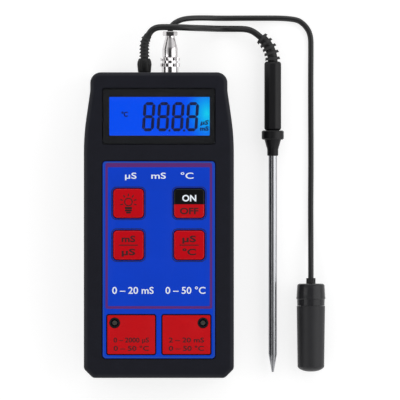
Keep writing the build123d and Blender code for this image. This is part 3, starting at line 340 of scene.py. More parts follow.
def lit_glass(name, colours, lamp, reach):
    """Display glass lit from behind: even blue that turns cyan beside the backlight's lamp."""
    material, tree, shader, place = new_material(
        name,
        Roughness=0.3,
        Base_Color=(0, 0, 0, 1),
        Specular_IOR_Level=0.1,
        Emission_Strength=LIT_STRENGTH,
    )
    near = add_node(
        tree,
        "ShaderNodeMapping",
        {
            "Vector": place,
            "Location": tuple(-middle / span for middle, span in zip(lamp, reach)),
            "Scale": tuple(1 / span for span in reach),
        },
    )
    closeness = add_node(
        tree,
        "ShaderNodeTexGradient",
        {"Vector": near.outputs["Vector"]},
        gradient_type="QUADRATIC_SPHERE",
    )
    tone = add_node(
        tree,
        "ShaderNodeMix",
        {0: closeness.outputs["Fac"], 6: colours.lit, 7: colours.glow},
        data_type="RGBA",
    )
    tree.links.new(tone.outputs[2], shader.inputs["Emission Color"])
    return material


def split_key(name, colours, level, soft):
    """Two-shot moulded key: dark above a level of Y and red below it."""
    material, tree, shader, place = new_material(name, Roughness=0.36, Specular_IOR_Level=0.3)
    height = add_node(tree, "ShaderNodeSeparateXYZ", {"Vector": place}).outputs["Y"]
    above = add_node(
        tree,
        "ShaderNodeMapRange",
        {"Value": height, "From Min": level - soft, "From Max": level + soft},
    )
    tone = add_node(
        tree,
        "ShaderNodeMix",
        {0: above.outputs["Result"], 6: colours.key, 7: colours.key_dark},
        data_type="RGBA",
    )
    normal, _ = relief(tree, place, 0.6 * MM, 0.006 * MM)
    link_shader(tree, shader, Base_Color=tone.outputs[2], Normal=normal)
    return material


def banded_jacket(name, low, high, level):
    """Printed steel jacket of a battery: two flat colours that meet across its length."""
    material, tree, shader, place = new_material(name, Metallic=0.3, Roughness=0.4)
    along = add_node(tree, "ShaderNodeSeparateXYZ", {"Vector": place}).outputs["X"]
    above = add_node(
        tree,
        "ShaderNodeMapRange",
        {"Value": along, "From Min": level, "From Max": level + 0.05 * MM},
    )
    tone = add_node(
        tree,
        "ShaderNodeMix",
        {0: above.outputs["Result"], 6: low, 7: high},
        data_type="RGBA",
    )
    normal, _ = relief(tree, place, 2 * MM, 0.01 * MM)
    link_shader(tree, shader, Base_Color=tone.outputs[2], Normal=normal)
    return material


def round_edges(piece, width, sharper_than=40):
    """Break a plate's edges by a small width, after joining its loose triangles."""
    weld = piece.modifiers.new("join", "WELD")
    weld.merge_threshold = PART_WELD
    bevel = piece.modifiers.new("edge", "BEVEL")
    bevel.width = width
    bevel.segments = 3
    bevel.limit_method = "ANGLE"
    bevel.angle_limit = math.radians(sharper_than)
    bevel.use_clamp_overlap = True
    smooth_faces(piece)


def smooth_faces(piece):
    """Shade a piece's faces smooth, so that only its split or broken edges show."""
    piece.data.polygons.foreach_set("use_smooth", [True] * len(piece.data.polygons))
    piece.data.update()


def join_round(piece, crease=32):
    """Join a part's loose triangles and keep edges sharper than the crease angle crisp."""
    weld = piece.modifiers.new("join", "WELD")
    weld.merge_threshold = PART_WELD
    split = piece.modifiers.new("crease", "EDGE_SPLIT")
    split.split_angle = math.radians(crease)
    smooth_faces(piece)


def finish_nodes(material, *names, edge=0.0):
    """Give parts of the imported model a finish, with edges broken by a width if one is given."""
    for name in names:
        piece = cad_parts[name]
        piece.data.materials.clear()
        piece.data.materials.append(material)
        if edge > 0:
            round_edges(piece, edge)
        else:
            join_round(piece)


def put_piece(name, mesh, body, material):
    """Put a finished mesh in the scene, riding on a body and taking its finish from a slot."""
    mesh.materials.clear()
    mesh.materials.append(material)
    piece = bpy.data.objects.new(name, mesh)
    bpy.context.scene.collection.objects.link(piece)
    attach(piece, body)
    return piece


def mesh_of(name, points, faces):
    """A mesh from arrays of points and faces."""
    mesh = bpy.data.meshes.new(name)
    mesh.from_pydata(np.asarray(points).tolist(), [], [list(map(int, face)) for face in faces])
    mesh.update()
    return mesh


def grid_faces(rows, columns):
    """Quads of a grid that closes on itself both ways: each cell to the next row and column."""
    row, column = np.meshgrid(np.arange(rows), np.arange(columns), indexing="ij")
    below, beside = (row + 1) % rows, (column + 1) % columns
    corners = [
        row * columns + column,
        row * columns + beside,
        below * columns + beside,
        below * columns + column,
    ]
    return np.stack(corners, axis=-1).reshape(-1, 4)


def rounded_outline(centre, width, height, corner, steps=7):
    """A rectangle with arc corners: each corner's centre plus the corner radius at an angle."""
    quarter = np.linspace(0, math.pi / 2, steps)
    angles = (np.arange(4)[:, None] * math.pi / 2 + quarter).ravel()
    signs = np.array([(1, 1), (-1, 1), (-1, -1), (1, -1)]).repeat(steps, axis=0)
    middles = np.array(centre) + signs * (np.array([width, height]) / 2 - corner)
    return middles + corner * np.stack([np.cos(angles), np.sin(angles)], axis=1)


def at_height(outline, height):
    """Flat points raised to a height."""
    return np.column_stack([outline, np.full(len(outline), height)])


def ring_mesh(name, outer, inner, bottom, top):
    """A flat ring: four loops, outside low and high then inside high and low, joined in turn."""
    loops = [
        at_height(outer, bottom),
        at_height(outer, top),
        at_height(inner, top),
        at_height(inner, bottom),
    ]
    faces = grid_faces(4, len(outer))[:, ::-1]
    return mesh_of(name, np.concatenate(loops), faces)


def slab_mesh(name, outlines, bottom, top):
    """Upright slabs: each outline at two heights, a wall between them and a face at each end."""
    points, faces, start = [], [], 0
    for outline in outlines:
        count = len(outline)
        points += [at_height(outline, bottom), at_height(outline, top)]
        here = np.arange(count)
        beyond = (here + 1) % count
        wall = np.stack([here, beyond, beyond + count, here + count], axis=1) + start
        faces += [*wall, here[::-1] + start, here + count + start]
        start += 2 * count
    return mesh_of(name, np.concatenate(points), faces)


def words_mesh(name, words, centre, capital, bottom, top, span=None, lean=0.0, weight=0.0):
    """Words as a thin layer: letters scaled to a capital's height, and to a span if given."""
    curve = bpy.data.curves.new(name, "FONT")
    curve.body = words
    curve.extrude = 0.1
    curve.shear = lean
    curve.offset = weight
    curve.resolution_u = 4
    letters = bpy.data.objects.new(name, curve)
    bpy.context.scene.collection.objects.link(letters)
    bpy.context.view_layer.update()
    graph = bpy.context.evaluated_depsgraph_get()
    mesh = bpy.data.meshes.new_from_object(letters.evaluated_get(graph))
    bpy.data.objects.remove(letters)
    bpy.data.curves.remove(curve)
    mesh.name = name
    points = np.empty(len(mesh.vertices) * 3)
    mesh.vertices.foreach_get("co", points)
    points = points.reshape(-1, 3)
    scale = capital / CAPITAL_SHARE
    low, high = points[:, 0].min(), points[:, 0].max()
    across = span / (high - low) if span else scale
    points[:, 0] = (points[:, 0] - (low + high) / 2) * across + centre[0]
    points[:, 1] = (points[:, 1] - CAPITAL_SHARE / 2) * scale + centre[1]
    points[:, 2] = np.where(points[:, 2] > 0, top, bottom)
    mesh.vertices.foreach_set("co", points.ravel())
    joined = bmesh.new()
    joined.from_mesh(mesh)
    bmesh.ops.remove_doubles(joined, verts=joined.verts, dist=LETTER_WELD)
    joined.to_mesh(mesh)
    joined.free()
    mesh.update()
    return mesh


def stroke_outline(start, end, width):
    """A straight stroke's four corners: both ends moved half the width to each side."""
    start, end = np.array(start), np.array(end)
    along = (end - start) / np.linalg.norm(end - start)
    side = np.array([-along[1], along[0]]) * width / 2
    return np.array([start - side, end - side, end + side, start + side])


def circle_outline(centre, radius, steps=28):
    """A circle's points: its centre plus the radius at evenly spaced angles."""
    angles = np.linspace(0, 2 * math.pi, steps, endpoint=False)
    return np.array(centre) + radius * np.stack([np.cos(angles), np.sin(angles)], axis=1)


def segment_outlines(sizes):
    """A digit's seven segments: a pointed bar, turned upright or lying, at each of its places."""
    half, gap = sizes.stroke / 2, 0.1 * MM
    width = sizes.digit_width - sizes.stroke
    height = (sizes.digit_height - sizes.stroke) / 2
    outlines = []

    def bar(length, upright, middle):
        reach = length / 2 - gap
        tip = np.array(
            [
                (-reach, 0),
                (-reach + half, -half),
                (reach - half, -half),
                (reach, 0),
                (reach - half, half),
                (-reach + half, half),
            ]
        )
        if upright:
            tip = np.stack([-tip[:, 1], tip[:, 0]], axis=1)
        outlines.append(tip + np.array(middle))

    for level in (-height, 0, height):
        bar(width, False, (0, level))
    for side in (-width / 2, width / 2):
        for level in (-height / 2, height / 2):
            bar(height, True, (side, level))
    return outlines


def middle_of(box):
    """The middle of a box in X and Y."""
    low, high = box
    return ((low.x + high.x) / 2, (low.y + high.y) / 2)


class TesterPart:
    """What the operators share: their menu options and the user's sizes and colours."""

    bl_options = {"REGISTER", "UNDO"}

    @staticmethod
    def choices(context):
        """The sizes and colours kept on the scene."""
        return context.scene.tester_sizes, context.scene.tester_colours


class TESTER_OT_case(TesterPart, bpy.types.Operator):
    """Finish the case halves, the battery door and their screws"""

    bl_idname = "tester.case"
    bl_label = "Case"

    first_tip = 7 * MM
    tip_pitch = 2.2 * MM
    wing_span, wing_rise = 4 * MM, 2.4 * MM
    chevron_stroke = 0.7 * MM
    chevron_levels = (0.02 * MM, 0.3 * MM)

    def execute(self, context):
        _, colours = self.choices(context)
        shell = moulded_plastic(
            "etched_abs", colours.case, 0.5, 0.9 * MM, 0.05 * MM, spread=0.22, specular=0.2
        )
        finish_nodes(shell, "front_case", "rear_case", "battery_door")
        finish_nodes(drawn_steel("zinc_plated_steel", "9a9ba0"), "case_screws", "board_screws")
        self.add_arrow(shell)
        return {"FINISHED"}

    def add_arrow(self, material):
        """Three moulded chevrons on the door that point the way it slides."""
        low = DOOR[0]
        middle, _ = middle_of(DOOR)
        chevrons = []
        for step in range(3):
            tip = np.array([middle, low.y + self.first_tip + step * self.tip_pitch])
            for way in (-1, 1):
                wing = tip + np.array([way * self.wing_span, self.wing_rise])
                chevrons.append(stroke_outline(tip, wing, self.chevron_stroke))
        bottom, top = (low.z + level for level in self.chevron_levels)
        mesh = slab_mesh("door_chevrons", chevrons, bottom, top)
        put_piece("door_chevrons", mesh, "door", material)


class TESTER_OT_display(TesterPart, bpy.types.Operator):
    """Finish the display and add its border, digits and units"""

    bl_idname = "tester.display"
    bl_label = "Display"

    digits = 4
    lit_offset = 0.3 * MM
    first_digit = -4.75 * MM
    row_offset = -0.2 * MM
    lean = math.tan(math.radians(4))
    lamp_x, lamp_rise = 22.4 * MM, 1.3 * MM
    glow_reach = (12 * MM, 17 * MM, 12 * MM)
    border_inset = 0.2 * MM

    def execute(self, context):
        sizes, colours = self.choices(context)
        centre = middle_of(WINDOW)
        lamp = (self.lamp_x, centre[1] + self.lamp_rise, GLASS[1].z)
        finish_nodes(clear_acrylic("window_acrylic"), "lcd_window", edge=0.15 * MM)
        finish_nodes(lit_glass("lit_display", colours, lamp, self.glow_reach), "lcd_glass")
        guide = moulded_plastic("light_guide", linear("2a74f4"), 0.3, 0.5 * MM, 0.004 * MM)
        holder = moulded_plastic("display_holder", linear("2b2d33"), 0.5, 0.6 * MM, 0.01 * MM)
        finish_nodes(guide, "lcd_backlight")
        finish_nodes(holder, "lcd_frame")
        finish_nodes(soft_rubber("contact_rubber", linear("8d8f96")), "lcd_contact_strips")
        self.add_border(sizes, centre)
        # The segments glow faintly: partly the backlight showing through them, partly painted light
        # for the light that the window keeps off them.
        ink = screen_ink("display_segments", colours.segment, lit=0.5)
        self.add_digits(sizes, centre, ink)
        self.add_units(sizes, centre, ink)
        return {"FINISHED"}

    def add_border(self, sizes, centre):
        """The black print round the lit area, on the window's underside."""
        low, high = WINDOW
        spans = (high.x - low.x - 2 * self.border_inset, high.y - low.y - 2 * self.border_inset)
        outer = rounded_outline(centre, *spans, 1 * MM)
        lit = (centre[0] + self.lit_offset, centre[1])
        inner = rounded_outline(lit, sizes.view_width, sizes.view_height, 0.3 * MM)
        black = screen_ink("border_ink", linear("040408"), roughness=0.6)
        mesh = ring_mesh("window_border", outer, inner, low.z + 0.02 * MM, low.z + 0.05 * MM)
        put_piece("window_border", mesh, "meter", black)

    def add_digits(self, sizes, centre, ink):
        """Four seven-segment digits that lean a little, with a point after the second and third."""
        base = centre[1] + self.row_offset
        outlines = []
        for digit in range(self.digits):
            x = self.first_digit + digit * sizes.digit_pitch
            outlines += [part + np.array([x, 0]) for part in segment_outlines(sizes)]
        for digit in (1, 2):
            x = self.first_digit + (digit + 0.5) * sizes.digit_pitch
            point = np.array([x, -sizes.digit_height / 2 + 0.4 * MM])
            outlines.append(rounded_outline(point, 0.95 * MM, 0.95 * MM, 0.2 * MM, steps=3))
        leaning = [
            np.stack([part[:, 0] + part[:, 1] * self.lean, part[:, 1] + base], axis=1)
            for part in outlines
        ]
        top = GLASS[1].z
        mesh = slab_mesh("display_digits", leaning, top, top + sizes.ink)
        put_piece("display_digits", mesh, "meter", ink)

    def add_units(self, sizes, centre, ink):
        """The units beside the digits: temperature at the left, conductivity at the right."""
        top = GLASS[1].z
        units = {
            "unit_celsius": ("°C", (-16 * MM, 1.0 * MM), 2.2 * MM, 3.0 * MM, 0.0),
            "unit_micro": ("µS", (21.3 * MM, -2.8 * MM), 2.0 * MM, 4.0 * MM, 0.2),
            "unit_milli": ("mS", (21.3 * MM, -5.6 * MM), 1.9 * MM, 4.1 * MM, 0.0),
        }
        for name, (words, offset, capital, span, lean) in units.items():
            place = (offset[0], centre[1] + offset[1])
            mesh = words_mesh(name, words, place, capital, top, top + sizes.ink, span, lean, 0.045)
            put_piece(name, mesh, "meter", ink)


class TESTER_OT_faceplate(TesterPart, bpy.types.Operator):
    """Finish the faceplate and print its frame line and its two lines of units"""

    bl_idname = "tester.faceplate"
    bl_label = "Faceplate"

    opening_gap = 0.7 * MM  # from a key's side to the side of its opening
    opening_corner = 2.2 * MM
    # Width of the painted highlight along the plate's edge
    highlight_strip = 0.45 * MM
    frame_half_width = 24.95 * MM
    frame_top = 29.1 * MM
    frame_foot = -39.1 * MM
    title = ("µS    mS    °C", (0.2 * MM, 23.2 * MM), 32 * MM)
    ranges = ("0 – 20 mS    0 – 50 °C", (0, -30.4 * MM), 43.6 * MM)

    def execute(self, context):
        sizes, colours = self.choices(context)
        finish_nodes(printed_film("faceplate_film", colours.film), "faceplate", edge=sizes.edge)
        face = PLATE[1].z
        self.add_rim_highlight(sizes, colours, face)
        self.add_frame_line(sizes, colours, face)
        self.add_key_gap_shades(sizes, colours, face)
        ink = screen_ink("white_ink", colours.white_ink)
        for name, line, capital in (
            ("title_line", self.title, sizes.title_capital),
            ("range_line", self.ranges, sizes.range_capital),
        ):
            words, place, span = line
            mesh = words_mesh(
                name, words, place, capital, face, face + sizes.ink, span, weight=0.012
            )
            put_piece(name, mesh, "meter", ink)
        return {"FINISHED"}

    def add_rim_highlight(self, sizes, colours, face):
        """A strip round the plate's edge, lighter and greyer than the print inside it: a painted
        highlight for light caught on the plate's broken edge.
        """
        low, high = PLATE
        centre = middle_of(PLATE)
        inset = sizes.edge + 0.02 * MM
        width, height = high.x - low.x - 2 * inset, high.y - low.y - 2 * inset
        outer = rounded_outline(centre, width, height, 1.3 * MM)
        inner_spans = (width - 2 * self.highlight_strip, height - 2 * self.highlight_strip)
        inner = rounded_outline(centre, *inner_spans, 1 * MM)
        # Painted highlight round the plate's edge
        film = printed_film("rim_highlight", colours.rim_highlight)
        mesh = ring_mesh("faceplate_rim_highlight", outer, inner, face, face + sizes.ink / 2)
        put_piece("faceplate_rim_highlight", mesh, "meter", film)

    def add_frame_line(self, sizes, colours, face):
        """The printed frame, thicker at its head, round the keys and both lines."""
        middle = (self.frame_top + self.frame_foot) / 2
        height = self.frame_top - self.frame_foot
        outer = rounded_outline((0, middle), 2 * self.frame_half_width, height, 0.9 * MM)
        shift = (sizes.frame_foot - sizes.frame_head) / 2
        inner = rounded_outline(
            (0, middle + shift),
            2 * (self.frame_half_width - sizes.frame_side),
            height - sizes.frame_head - sizes.frame_foot,
            0.4 * MM,
        )
        ink = screen_ink("frame_ink", colours.frame_line)
        mesh = ring_mesh("faceplate_frame_line", outer, inner, face, face + sizes.ink)
        put_piece("faceplate_frame_line", mesh, "meter", ink)

    def add_key_gap_shades(self, sizes, colours, face):
        """A dark line round each key's opening: painted shade for the shadow in the gap round the
        key.
        """
        # Painted shade in the gap round each key
        ink = screen_ink("key_gap_shade_ink", colours.key_gap_shade)
        for key, box in KEYS.items():
            opening = KEY_SPAN[0] + 2 * self.opening_gap, KEY_SPAN[1] + 2 * self.opening_gap
            inner = rounded_outline(middle_of(box), *opening, self.opening_corner)
            wider = (side + 2 * sizes.key_gap_shade for side in opening)
            corner = self.opening_corner + sizes.key_gap_shade
            outer = rounded_outline(middle_of(box), *wider, corner)
            mesh = ring_mesh(f"{key}_key_gap_shade", outer, inner, face, face + sizes.ink / 2)
            put_piece(f"{key}_key_gap_shade", mesh, "meter", ink)


class TESTER_OT_keys(TesterPart, bpy.types.Operator):
    """Finish the keys and their plungers, and print what each key does"""

    bl_idname = "tester.keys"
    bl_label = "Keys"

    bar_length = 8.8 * MM
    bar_width = 0.45 * MM
    bulb, bulb_rise, bulb_line = 2.0 * MM, 0.6 * MM, 0.5 * MM
    rays, first_ray, last_ray = 7, -20, 200
    ray_start, ray_end, ray_width = 2.7 * MM, 4.0 * MM, 0.5 * MM

    # Distance below the key's middle, width and height of each block of the lamp's foot
    foot_blocks = [
        (2.2 * MM, 3.4 * MM, 1.0 * MM),
        (3.35 * MM, 3.2 * MM, 0.9 * MM),
        (4.35 * MM, 2.2 * MM, 0.8 * MM),
    ]

    def execute(self, context):
        sizes, colours = self.choices(context)
        red = moulded_plastic("key_abs", colours.key, 0.36, 0.6 * MM, 0.008 * MM, spread=0.06)
        finish_nodes(red, "key_light", "key_units", "key_mode")
        split = middle_of(KEYS["power"])[1] - 0.5 * MM
        two_shot = split_key("power_key_abs", colours, split, 0.12 * MM)
        finish_nodes(two_shot, "key_power")
        stem = moulded_plastic("plunger_acetal", linear("b8b8b4"), 0.4, 0.4 * MM, 0.004 * MM)
        finish_nodes(stem, *(f"switch_plunger_{name}" for name in KEYS))
        dark = screen_ink("dark_mark_ink", colours.mark)
        white = screen_ink("white_mark_ink", colours.white_ink)
        self.add_lamp(sizes, dark, colours)
        self.add_words("power", "on_mark", "ON", 2.5 * MM, 6.6 * MM, sizes, white)
        self.add_words("power", "off_mark", "OFF", -3.5 * MM, 8.7 * MM, sizes, dark)
        for name, upper, lower in (("units", "mS", "µS"), ("mode", "µS", "°C")):
            self.add_words(name, f"{name}_upper_mark", upper, 3.0 * MM, 6.4 * MM, sizes, dark)
            self.add_words(name, f"{name}_lower_mark", lower, -3.1 * MM, 6.4 * MM, sizes, dark)
            self.add_bar(name, sizes, dark)
        return {"FINISHED"}

    def add_words(self, key, name, words, offset, span, sizes, ink):
        """Words on a key, a distance above or below its middle."""
        x, y = middle_of(KEYS[key])
        face = KEYS[key][1].z
        levels = face, face + sizes.ink
        place = (x, y + offset)
        mesh = words_mesh(name, words, place, sizes.key_capital, *levels, span, weight=0.03)
        put_piece(name, mesh, f"{key}_key", ink)

    def add_bar(self, key, sizes, ink):
        """The line between a key's two rows."""
        x, y = middle_of(KEYS[key])
        face = KEYS[key][1].z
        ends = (x - self.bar_length / 2, y), (x + self.bar_length / 2, y)
        mesh = slab_mesh(
            f"{key}_bar_mark", [stroke_outline(*ends, self.bar_width)], face, face + sizes.ink
        )
        put_piece(f"{key}_bar_mark", mesh, f"{key}_key", ink)

    def add_lamp(self, sizes, ink, colours):
        """A lamp on the light key: a ring, short rays round its upper side and a dark foot."""
        x, y = middle_of(KEYS["light"])
        face = KEYS["light"][1].z
        centre = np.array([x, y + self.bulb_rise])
        ring = ring_mesh(
            "lamp_ring_mark",
            circle_outline(centre, self.bulb),
            circle_outline(centre, self.bulb - self.bulb_line),
            face,
            face + sizes.ink,
        )
        put_piece("lamp_ring_mark", ring, "light_key", ink)
        strokes = []
        for angle in np.radians(np.linspace(self.first_ray, self.last_ray, self.rays)):
            out = np.array([math.cos(angle), math.sin(angle)])
            ends = centre + out * self.ray_start, centre + out * self.ray_end
            strokes.append(stroke_outline(*ends, self.ray_width))
        rays = slab_mesh("lamp_ray_marks", strokes, face, face + sizes.ink)
        put_piece("lamp_ray_marks", rays, "light_key", ink)
        foot = screen_ink("lamp_foot_ink", shade(colours.mark, 0.35))
        blocks = [
            rounded_outline((x, y - drop), wide, tall, 0.3 * MM, steps=4)
            for drop, wide, tall in self.foot_blocks
        ]
        base = slab_mesh("lamp_foot_mark", blocks, face, face + sizes.ink)
        put_piece("lamp_foot_mark", base, "light_key", foot)


class TESTER_OT_calibration(TesterPart, bpy.types.Operator):
    """Finish the calibration plates and the trimmers, and print each plate's range"""

    bl_idname = "tester.calibration"
    bl_label = "Calibration"

    rows = {"left": ("0 – 2000 µS", "0 – 50 °C"), "right": ("2 – 20 mS", "0 – 50 °C")}
    row_levels = (-2.45 * MM, -6.35 * MM)
    row_span = 16.5 * MM

    def execute(self, context):
        sizes, colours = self.choices(context)
        red = moulded_plastic("plate_abs", colours.plate, 0.45, 0.8 * MM, 0.01 * MM, spread=0.07)
        finish_nodes(red, "calibration_plate_left", "calibration_plate_right", edge=0.1 * MM)
        bush = moulded_plastic("bush_nylon", linear("0d0d10"), 0.55, 0.4 * MM, 0.01 * MM)
        body = moulded_plastic("trimmer_body", linear("1f56a8"), 0.45, 0.5 * MM, 0.006 * MM)
        finish_nodes(bush, "trimmer_bushes")
        finish_nodes(body, "trimmer_bodies")
        nickel = plated_metal("trimmer_nickel", "c9c5ba", 0.22)
        finish_nodes(nickel, "trimmer_screw_left", "trimmer_screw_right")
        ink = screen_ink("plate_ink", shade(colours.mark, 1.1))
        for side, lines in self.rows.items():
            x, y = middle_of(PLATES[side])
            face = PLATES[side][1].z
            levels = face, face + sizes.ink
            for row, (words, level) in enumerate(zip(lines, self.row_levels), start=1):
                name = f"{side}_plate_row_{row}"
                place = (x, y + level)
                mesh = words_mesh(
                    name, words, place, sizes.plate_capital, *levels, self.row_span, weight=0.02
                )
                put_piece(name, mesh, "meter", ink)
        return {"FINISHED"}


class TESTER_OT_board(TesterPart, bpy.types.Operator):
    """Finish the main board, what it carries and the leads inside"""

    bl_idname = "tester.board"
    bl_label = "Board"

    def execute(self, context):
        mask = printed_film("solder_mask", linear("14512c"))
        moulding = moulded_plastic("chip_epoxy", linear("202024"), 0.5, 0.4 * MM, 0.008 * MM)
        button = moulded_plastic("switch_pbt", linear("17181c"), 0.5, 0.5 * MM, 0.01 * MM)
        finish_nodes(mask, "main_board")
        finish_nodes(moulding, "controller_chip", "board_components")
        finish_nodes(button, "tact_switches", "jack_socket")
        wire = soft_rubber("hookup_pvc", linear("7d1a1c"))
        finish_nodes(wire, "battery_leads", "socket_leads")
        return {"FINISHED"}


class TESTER_OT_battery(TesterPart, bpy.types.Operator):
    """Finish the battery and its snap, and print its pole signs"""

    bl_idname = "tester.battery"
    bl_label = "Battery"

    band_length = 14 * MM
    sign_inset, sign_rise, sign_height = 5 * MM, 6 * MM, 4 * MM

    def execute(self, context):
        sizes, _ = self.choices(context)
        low, high = BATTERY
        band = high.x - self.band_length
        jacket = banded_jacket("battery_jacket", linear("3d4148"), linear("b07c3a"), band)
        finish_nodes(jacket, "battery")
        finish_nodes(soft_rubber("snap_vinyl", linear("1b1b1e")), "battery_snap")
        white = screen_ink("battery_ink", linear("dcdcd6"))
        _, y = middle_of(BATTERY)
        for name, words, way in (("plus_sign", "+", 1), ("minus_sign", "–", -1)):
            place = (band - self.sign_inset, y + way * self.sign_rise)
            bottom = low.z - sizes.ink
            mesh = words_mesh(
                name, words, place, self.sign_height, bottom, low.z, weight=0.02
            )
            put_piece(name, mesh, "meter", white)
        return {"FINISHED"}


class TESTER_OT_connectors(TesterPart, bpy.types.Operator):
    """Finish the bayonet socket and plug, and the jack plug with its boot"""

    bl_idname = "tester.connectors"
    bl_label = "Connectors"

    def execute(self, context):
        nickel = plated_metal("bright_nickel", "d6d3d4", 0.14)
        finish_nodes(
            nickel,
            "bayonet_socket",
            "socket_nut",
            "ec_plug_body",
            "ec_plug_ring",
            "ec_plug_nut",
            "jack_plug_pin",
        )
        finish_nodes(plated_metal("contact_gold", "c9a55a", 0.2), "ec_plug_pin")
        white = moulded_plastic("ptfe", linear("d9d7cf"), 0.5, 0.6 * MM, 0.006 * MM, spread=0.03)
        finish_nodes(white, "socket_insulator", "ec_plug_insulator")
        grip = moulded_plastic("plug_grip_abs", linear("161617"), 0.38, 0.5 * MM, 0.008 * MM)
        finish_nodes(grip, "jack_plug_grip")
        finish_nodes(soft_rubber("boot_pvc", linear("171718")), "jack_plug_boot")
        return {"FINISHED"}


class TESTER_OT_temperature_probe(TesterPart, bpy.types.Operator):
    """Finish the temperature probe: ribbed boot, grip, nose and steel rod"""

    bl_idname = "tester.temperature_probe"
    bl_label = "Temperature probe"

    def execute(self, context):
        _, colours = self.choices(context)
        grip = moulded_plastic("grip_abs", colours.grip, 0.4, 0.7 * MM, 0.012 * MM, spread=0.15)
        finish_nodes(grip, "temp_probe_grip", "temp_probe_nose")
        finish_nodes(drawn_steel("stainless_tube", "b4b5b8"), "temp_probe_rod")
        finish_nodes(soft_rubber("probe_boot_pvc", linear("1b1b1c")), "temp_probe_boot")
        bead = moulded_plastic("sensor_epoxy", linear("2c2620"), 0.35, 0.5 * MM, 0.01 * MM)
        finish_nodes(bead, "thermistor")
        return {"FINISHED"}


class TESTER_OT_conductivity_probe(TesterPart, bpy.types.Operator):
    """Finish the conductivity probe: gland, head, stem, electrodes, seal and cap"""

    bl_idname = "tester.conductivity_probe"
    bl_label = "Conductivity probe"

    def execute(self, context):
        _, colours = self.choices(context)
        head = moulded_plastic("head_acetal", colours.head, 0.2, 2.0 * MM, 0.006 * MM)
        cap = moulded_plastic("cap_polyethylene", colours.cap, 0.42, 0.9 * MM, 0.015 * MM)
        stem = moulded_plastic("stem_pvc", linear("2a2a2c"), 0.4, 0.8 * MM, 0.008 * MM)
        finish_nodes(head, "ec_probe_head")
        finish_nodes(cap, "ec_probe_cap")
        finish_nodes(stem, "ec_electrode_stem")
        finish_nodes(soft_rubber("gland_rubber", linear("1c1c1d")), "ec_probe_gland")
        finish_nodes(soft_rubber("seal_nitrile", linear("141414")), "ec_cap_seal")
        finish_nodes(plated_metal("electrode_steel", "9b9ca0", 0.25), "ec_electrodes")
        return {"FINISHED"}


class TESTER_OT_leads(TesterPart, bpy.types.Operator):
    """Lay both leads along their routes, from plug to probe"""

    bl_idname = "tester.leads"
    bl_label = "Leads"

    temp_diameter = 3.0 * MM
    temp_length = 63.9 * MM
    temp_route = [
        (-0.005595, 0.087997, 0.017),
        (-0.0041, 0.09059, 0.017),
        (-0.00241, 0.092, 0.017),
        (-0.00035, 0.09272, 0.017),
        (0.0032, 0.0928, 0.01705),
        (0.0098, 0.0927, 0.017),
        (0.0152, 0.09245, 0.0145),
        (0.0219, 0.09235, 0.0065),
        (0.0275, 0.0922, 0.00195),
        (0.0335, 0.09215, 0.0016),
        (0.0405, 0.0921, 0.0046),
        (0.0436, 0.0912, 0.0052),
        (0.04635, 0.08942, 0.0052),
        (0.048687, 0.087239, 0.0052),
    ]
    ec_diameter = 2.6 * MM
    ec_length = 193.3 * MM
    ec_route = [
        (0.0052, 0.0887, 0.0115),
        (0.0052, 0.0923, 0.0115),
        (0.0069, 0.0946, 0.0112),
        (0.0106, 0.0965, 0.0102),
        (0.0152, 0.09715, 0.0083),
        (0.0218, 0.09725, 0.0042),
        (0.029, 0.0971, 0.0015),
        (0.043, 0.0972, 0.00135),
        (0.0636, 0.09715, 0.00135),
        (0.0683, 0.09434, 0.00135),
        (0.0713, 0.08957, 0.00135),
        (0.07135, 0.0815, 0.00135),
        (0.07125, 0.064, 0.00135),
        (0.0714, 0.031, 0.00135),
        (0.07125, 0.01, 0.00135),
        (0.0713, -0.0025, 0.00135),
        (0.0713, -0.0115, 0.0046),
        (0.0713, -0.0187, 0.00685),
        (0.0713, -0.0259, 0.00685),
    ]

    def execute(self, context):
        _, colours = self.choices(context)
        jacket = lead_jacket("lead_pvc", colours.lead)
        temp = self.lay("temperature_lead", self.temp_route, self.temp_diameter, jacket)
        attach(temp, "meter")
        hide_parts("temp_lead")
        ec = self.lay("conductivity_lead", self.ec_route, self.ec_diameter, jacket)
        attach(ec, "conductivity_probe")
        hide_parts("ec_lead")
        return {"FINISHED"}

    def lay(self, name, route, diameter, material):
        """A lead on one smooth curve that its route's points control."""
        curve = bpy.data.curves.new(name, "CURVE")
        curve.dimensions = "3D"
        spline = curve.splines.new("NURBS")
        spline.points.add(len(route) - 1)
        spline.points.foreach_set("co", [value for point in route for value in (*point, 1.0)])
        spline.order_u = 3
        spline.use_endpoint_u = True
        curve.bevel_depth = diameter / 2
        curve.bevel_resolution = 8
        curve.resolution_u = 12
        curve.use_fill_caps = True
        curve.materials.append(material)
        lead = bpy.data.objects.new(name, curve)
        bpy.context.scene.collection.objects.link(lead)
        return lead


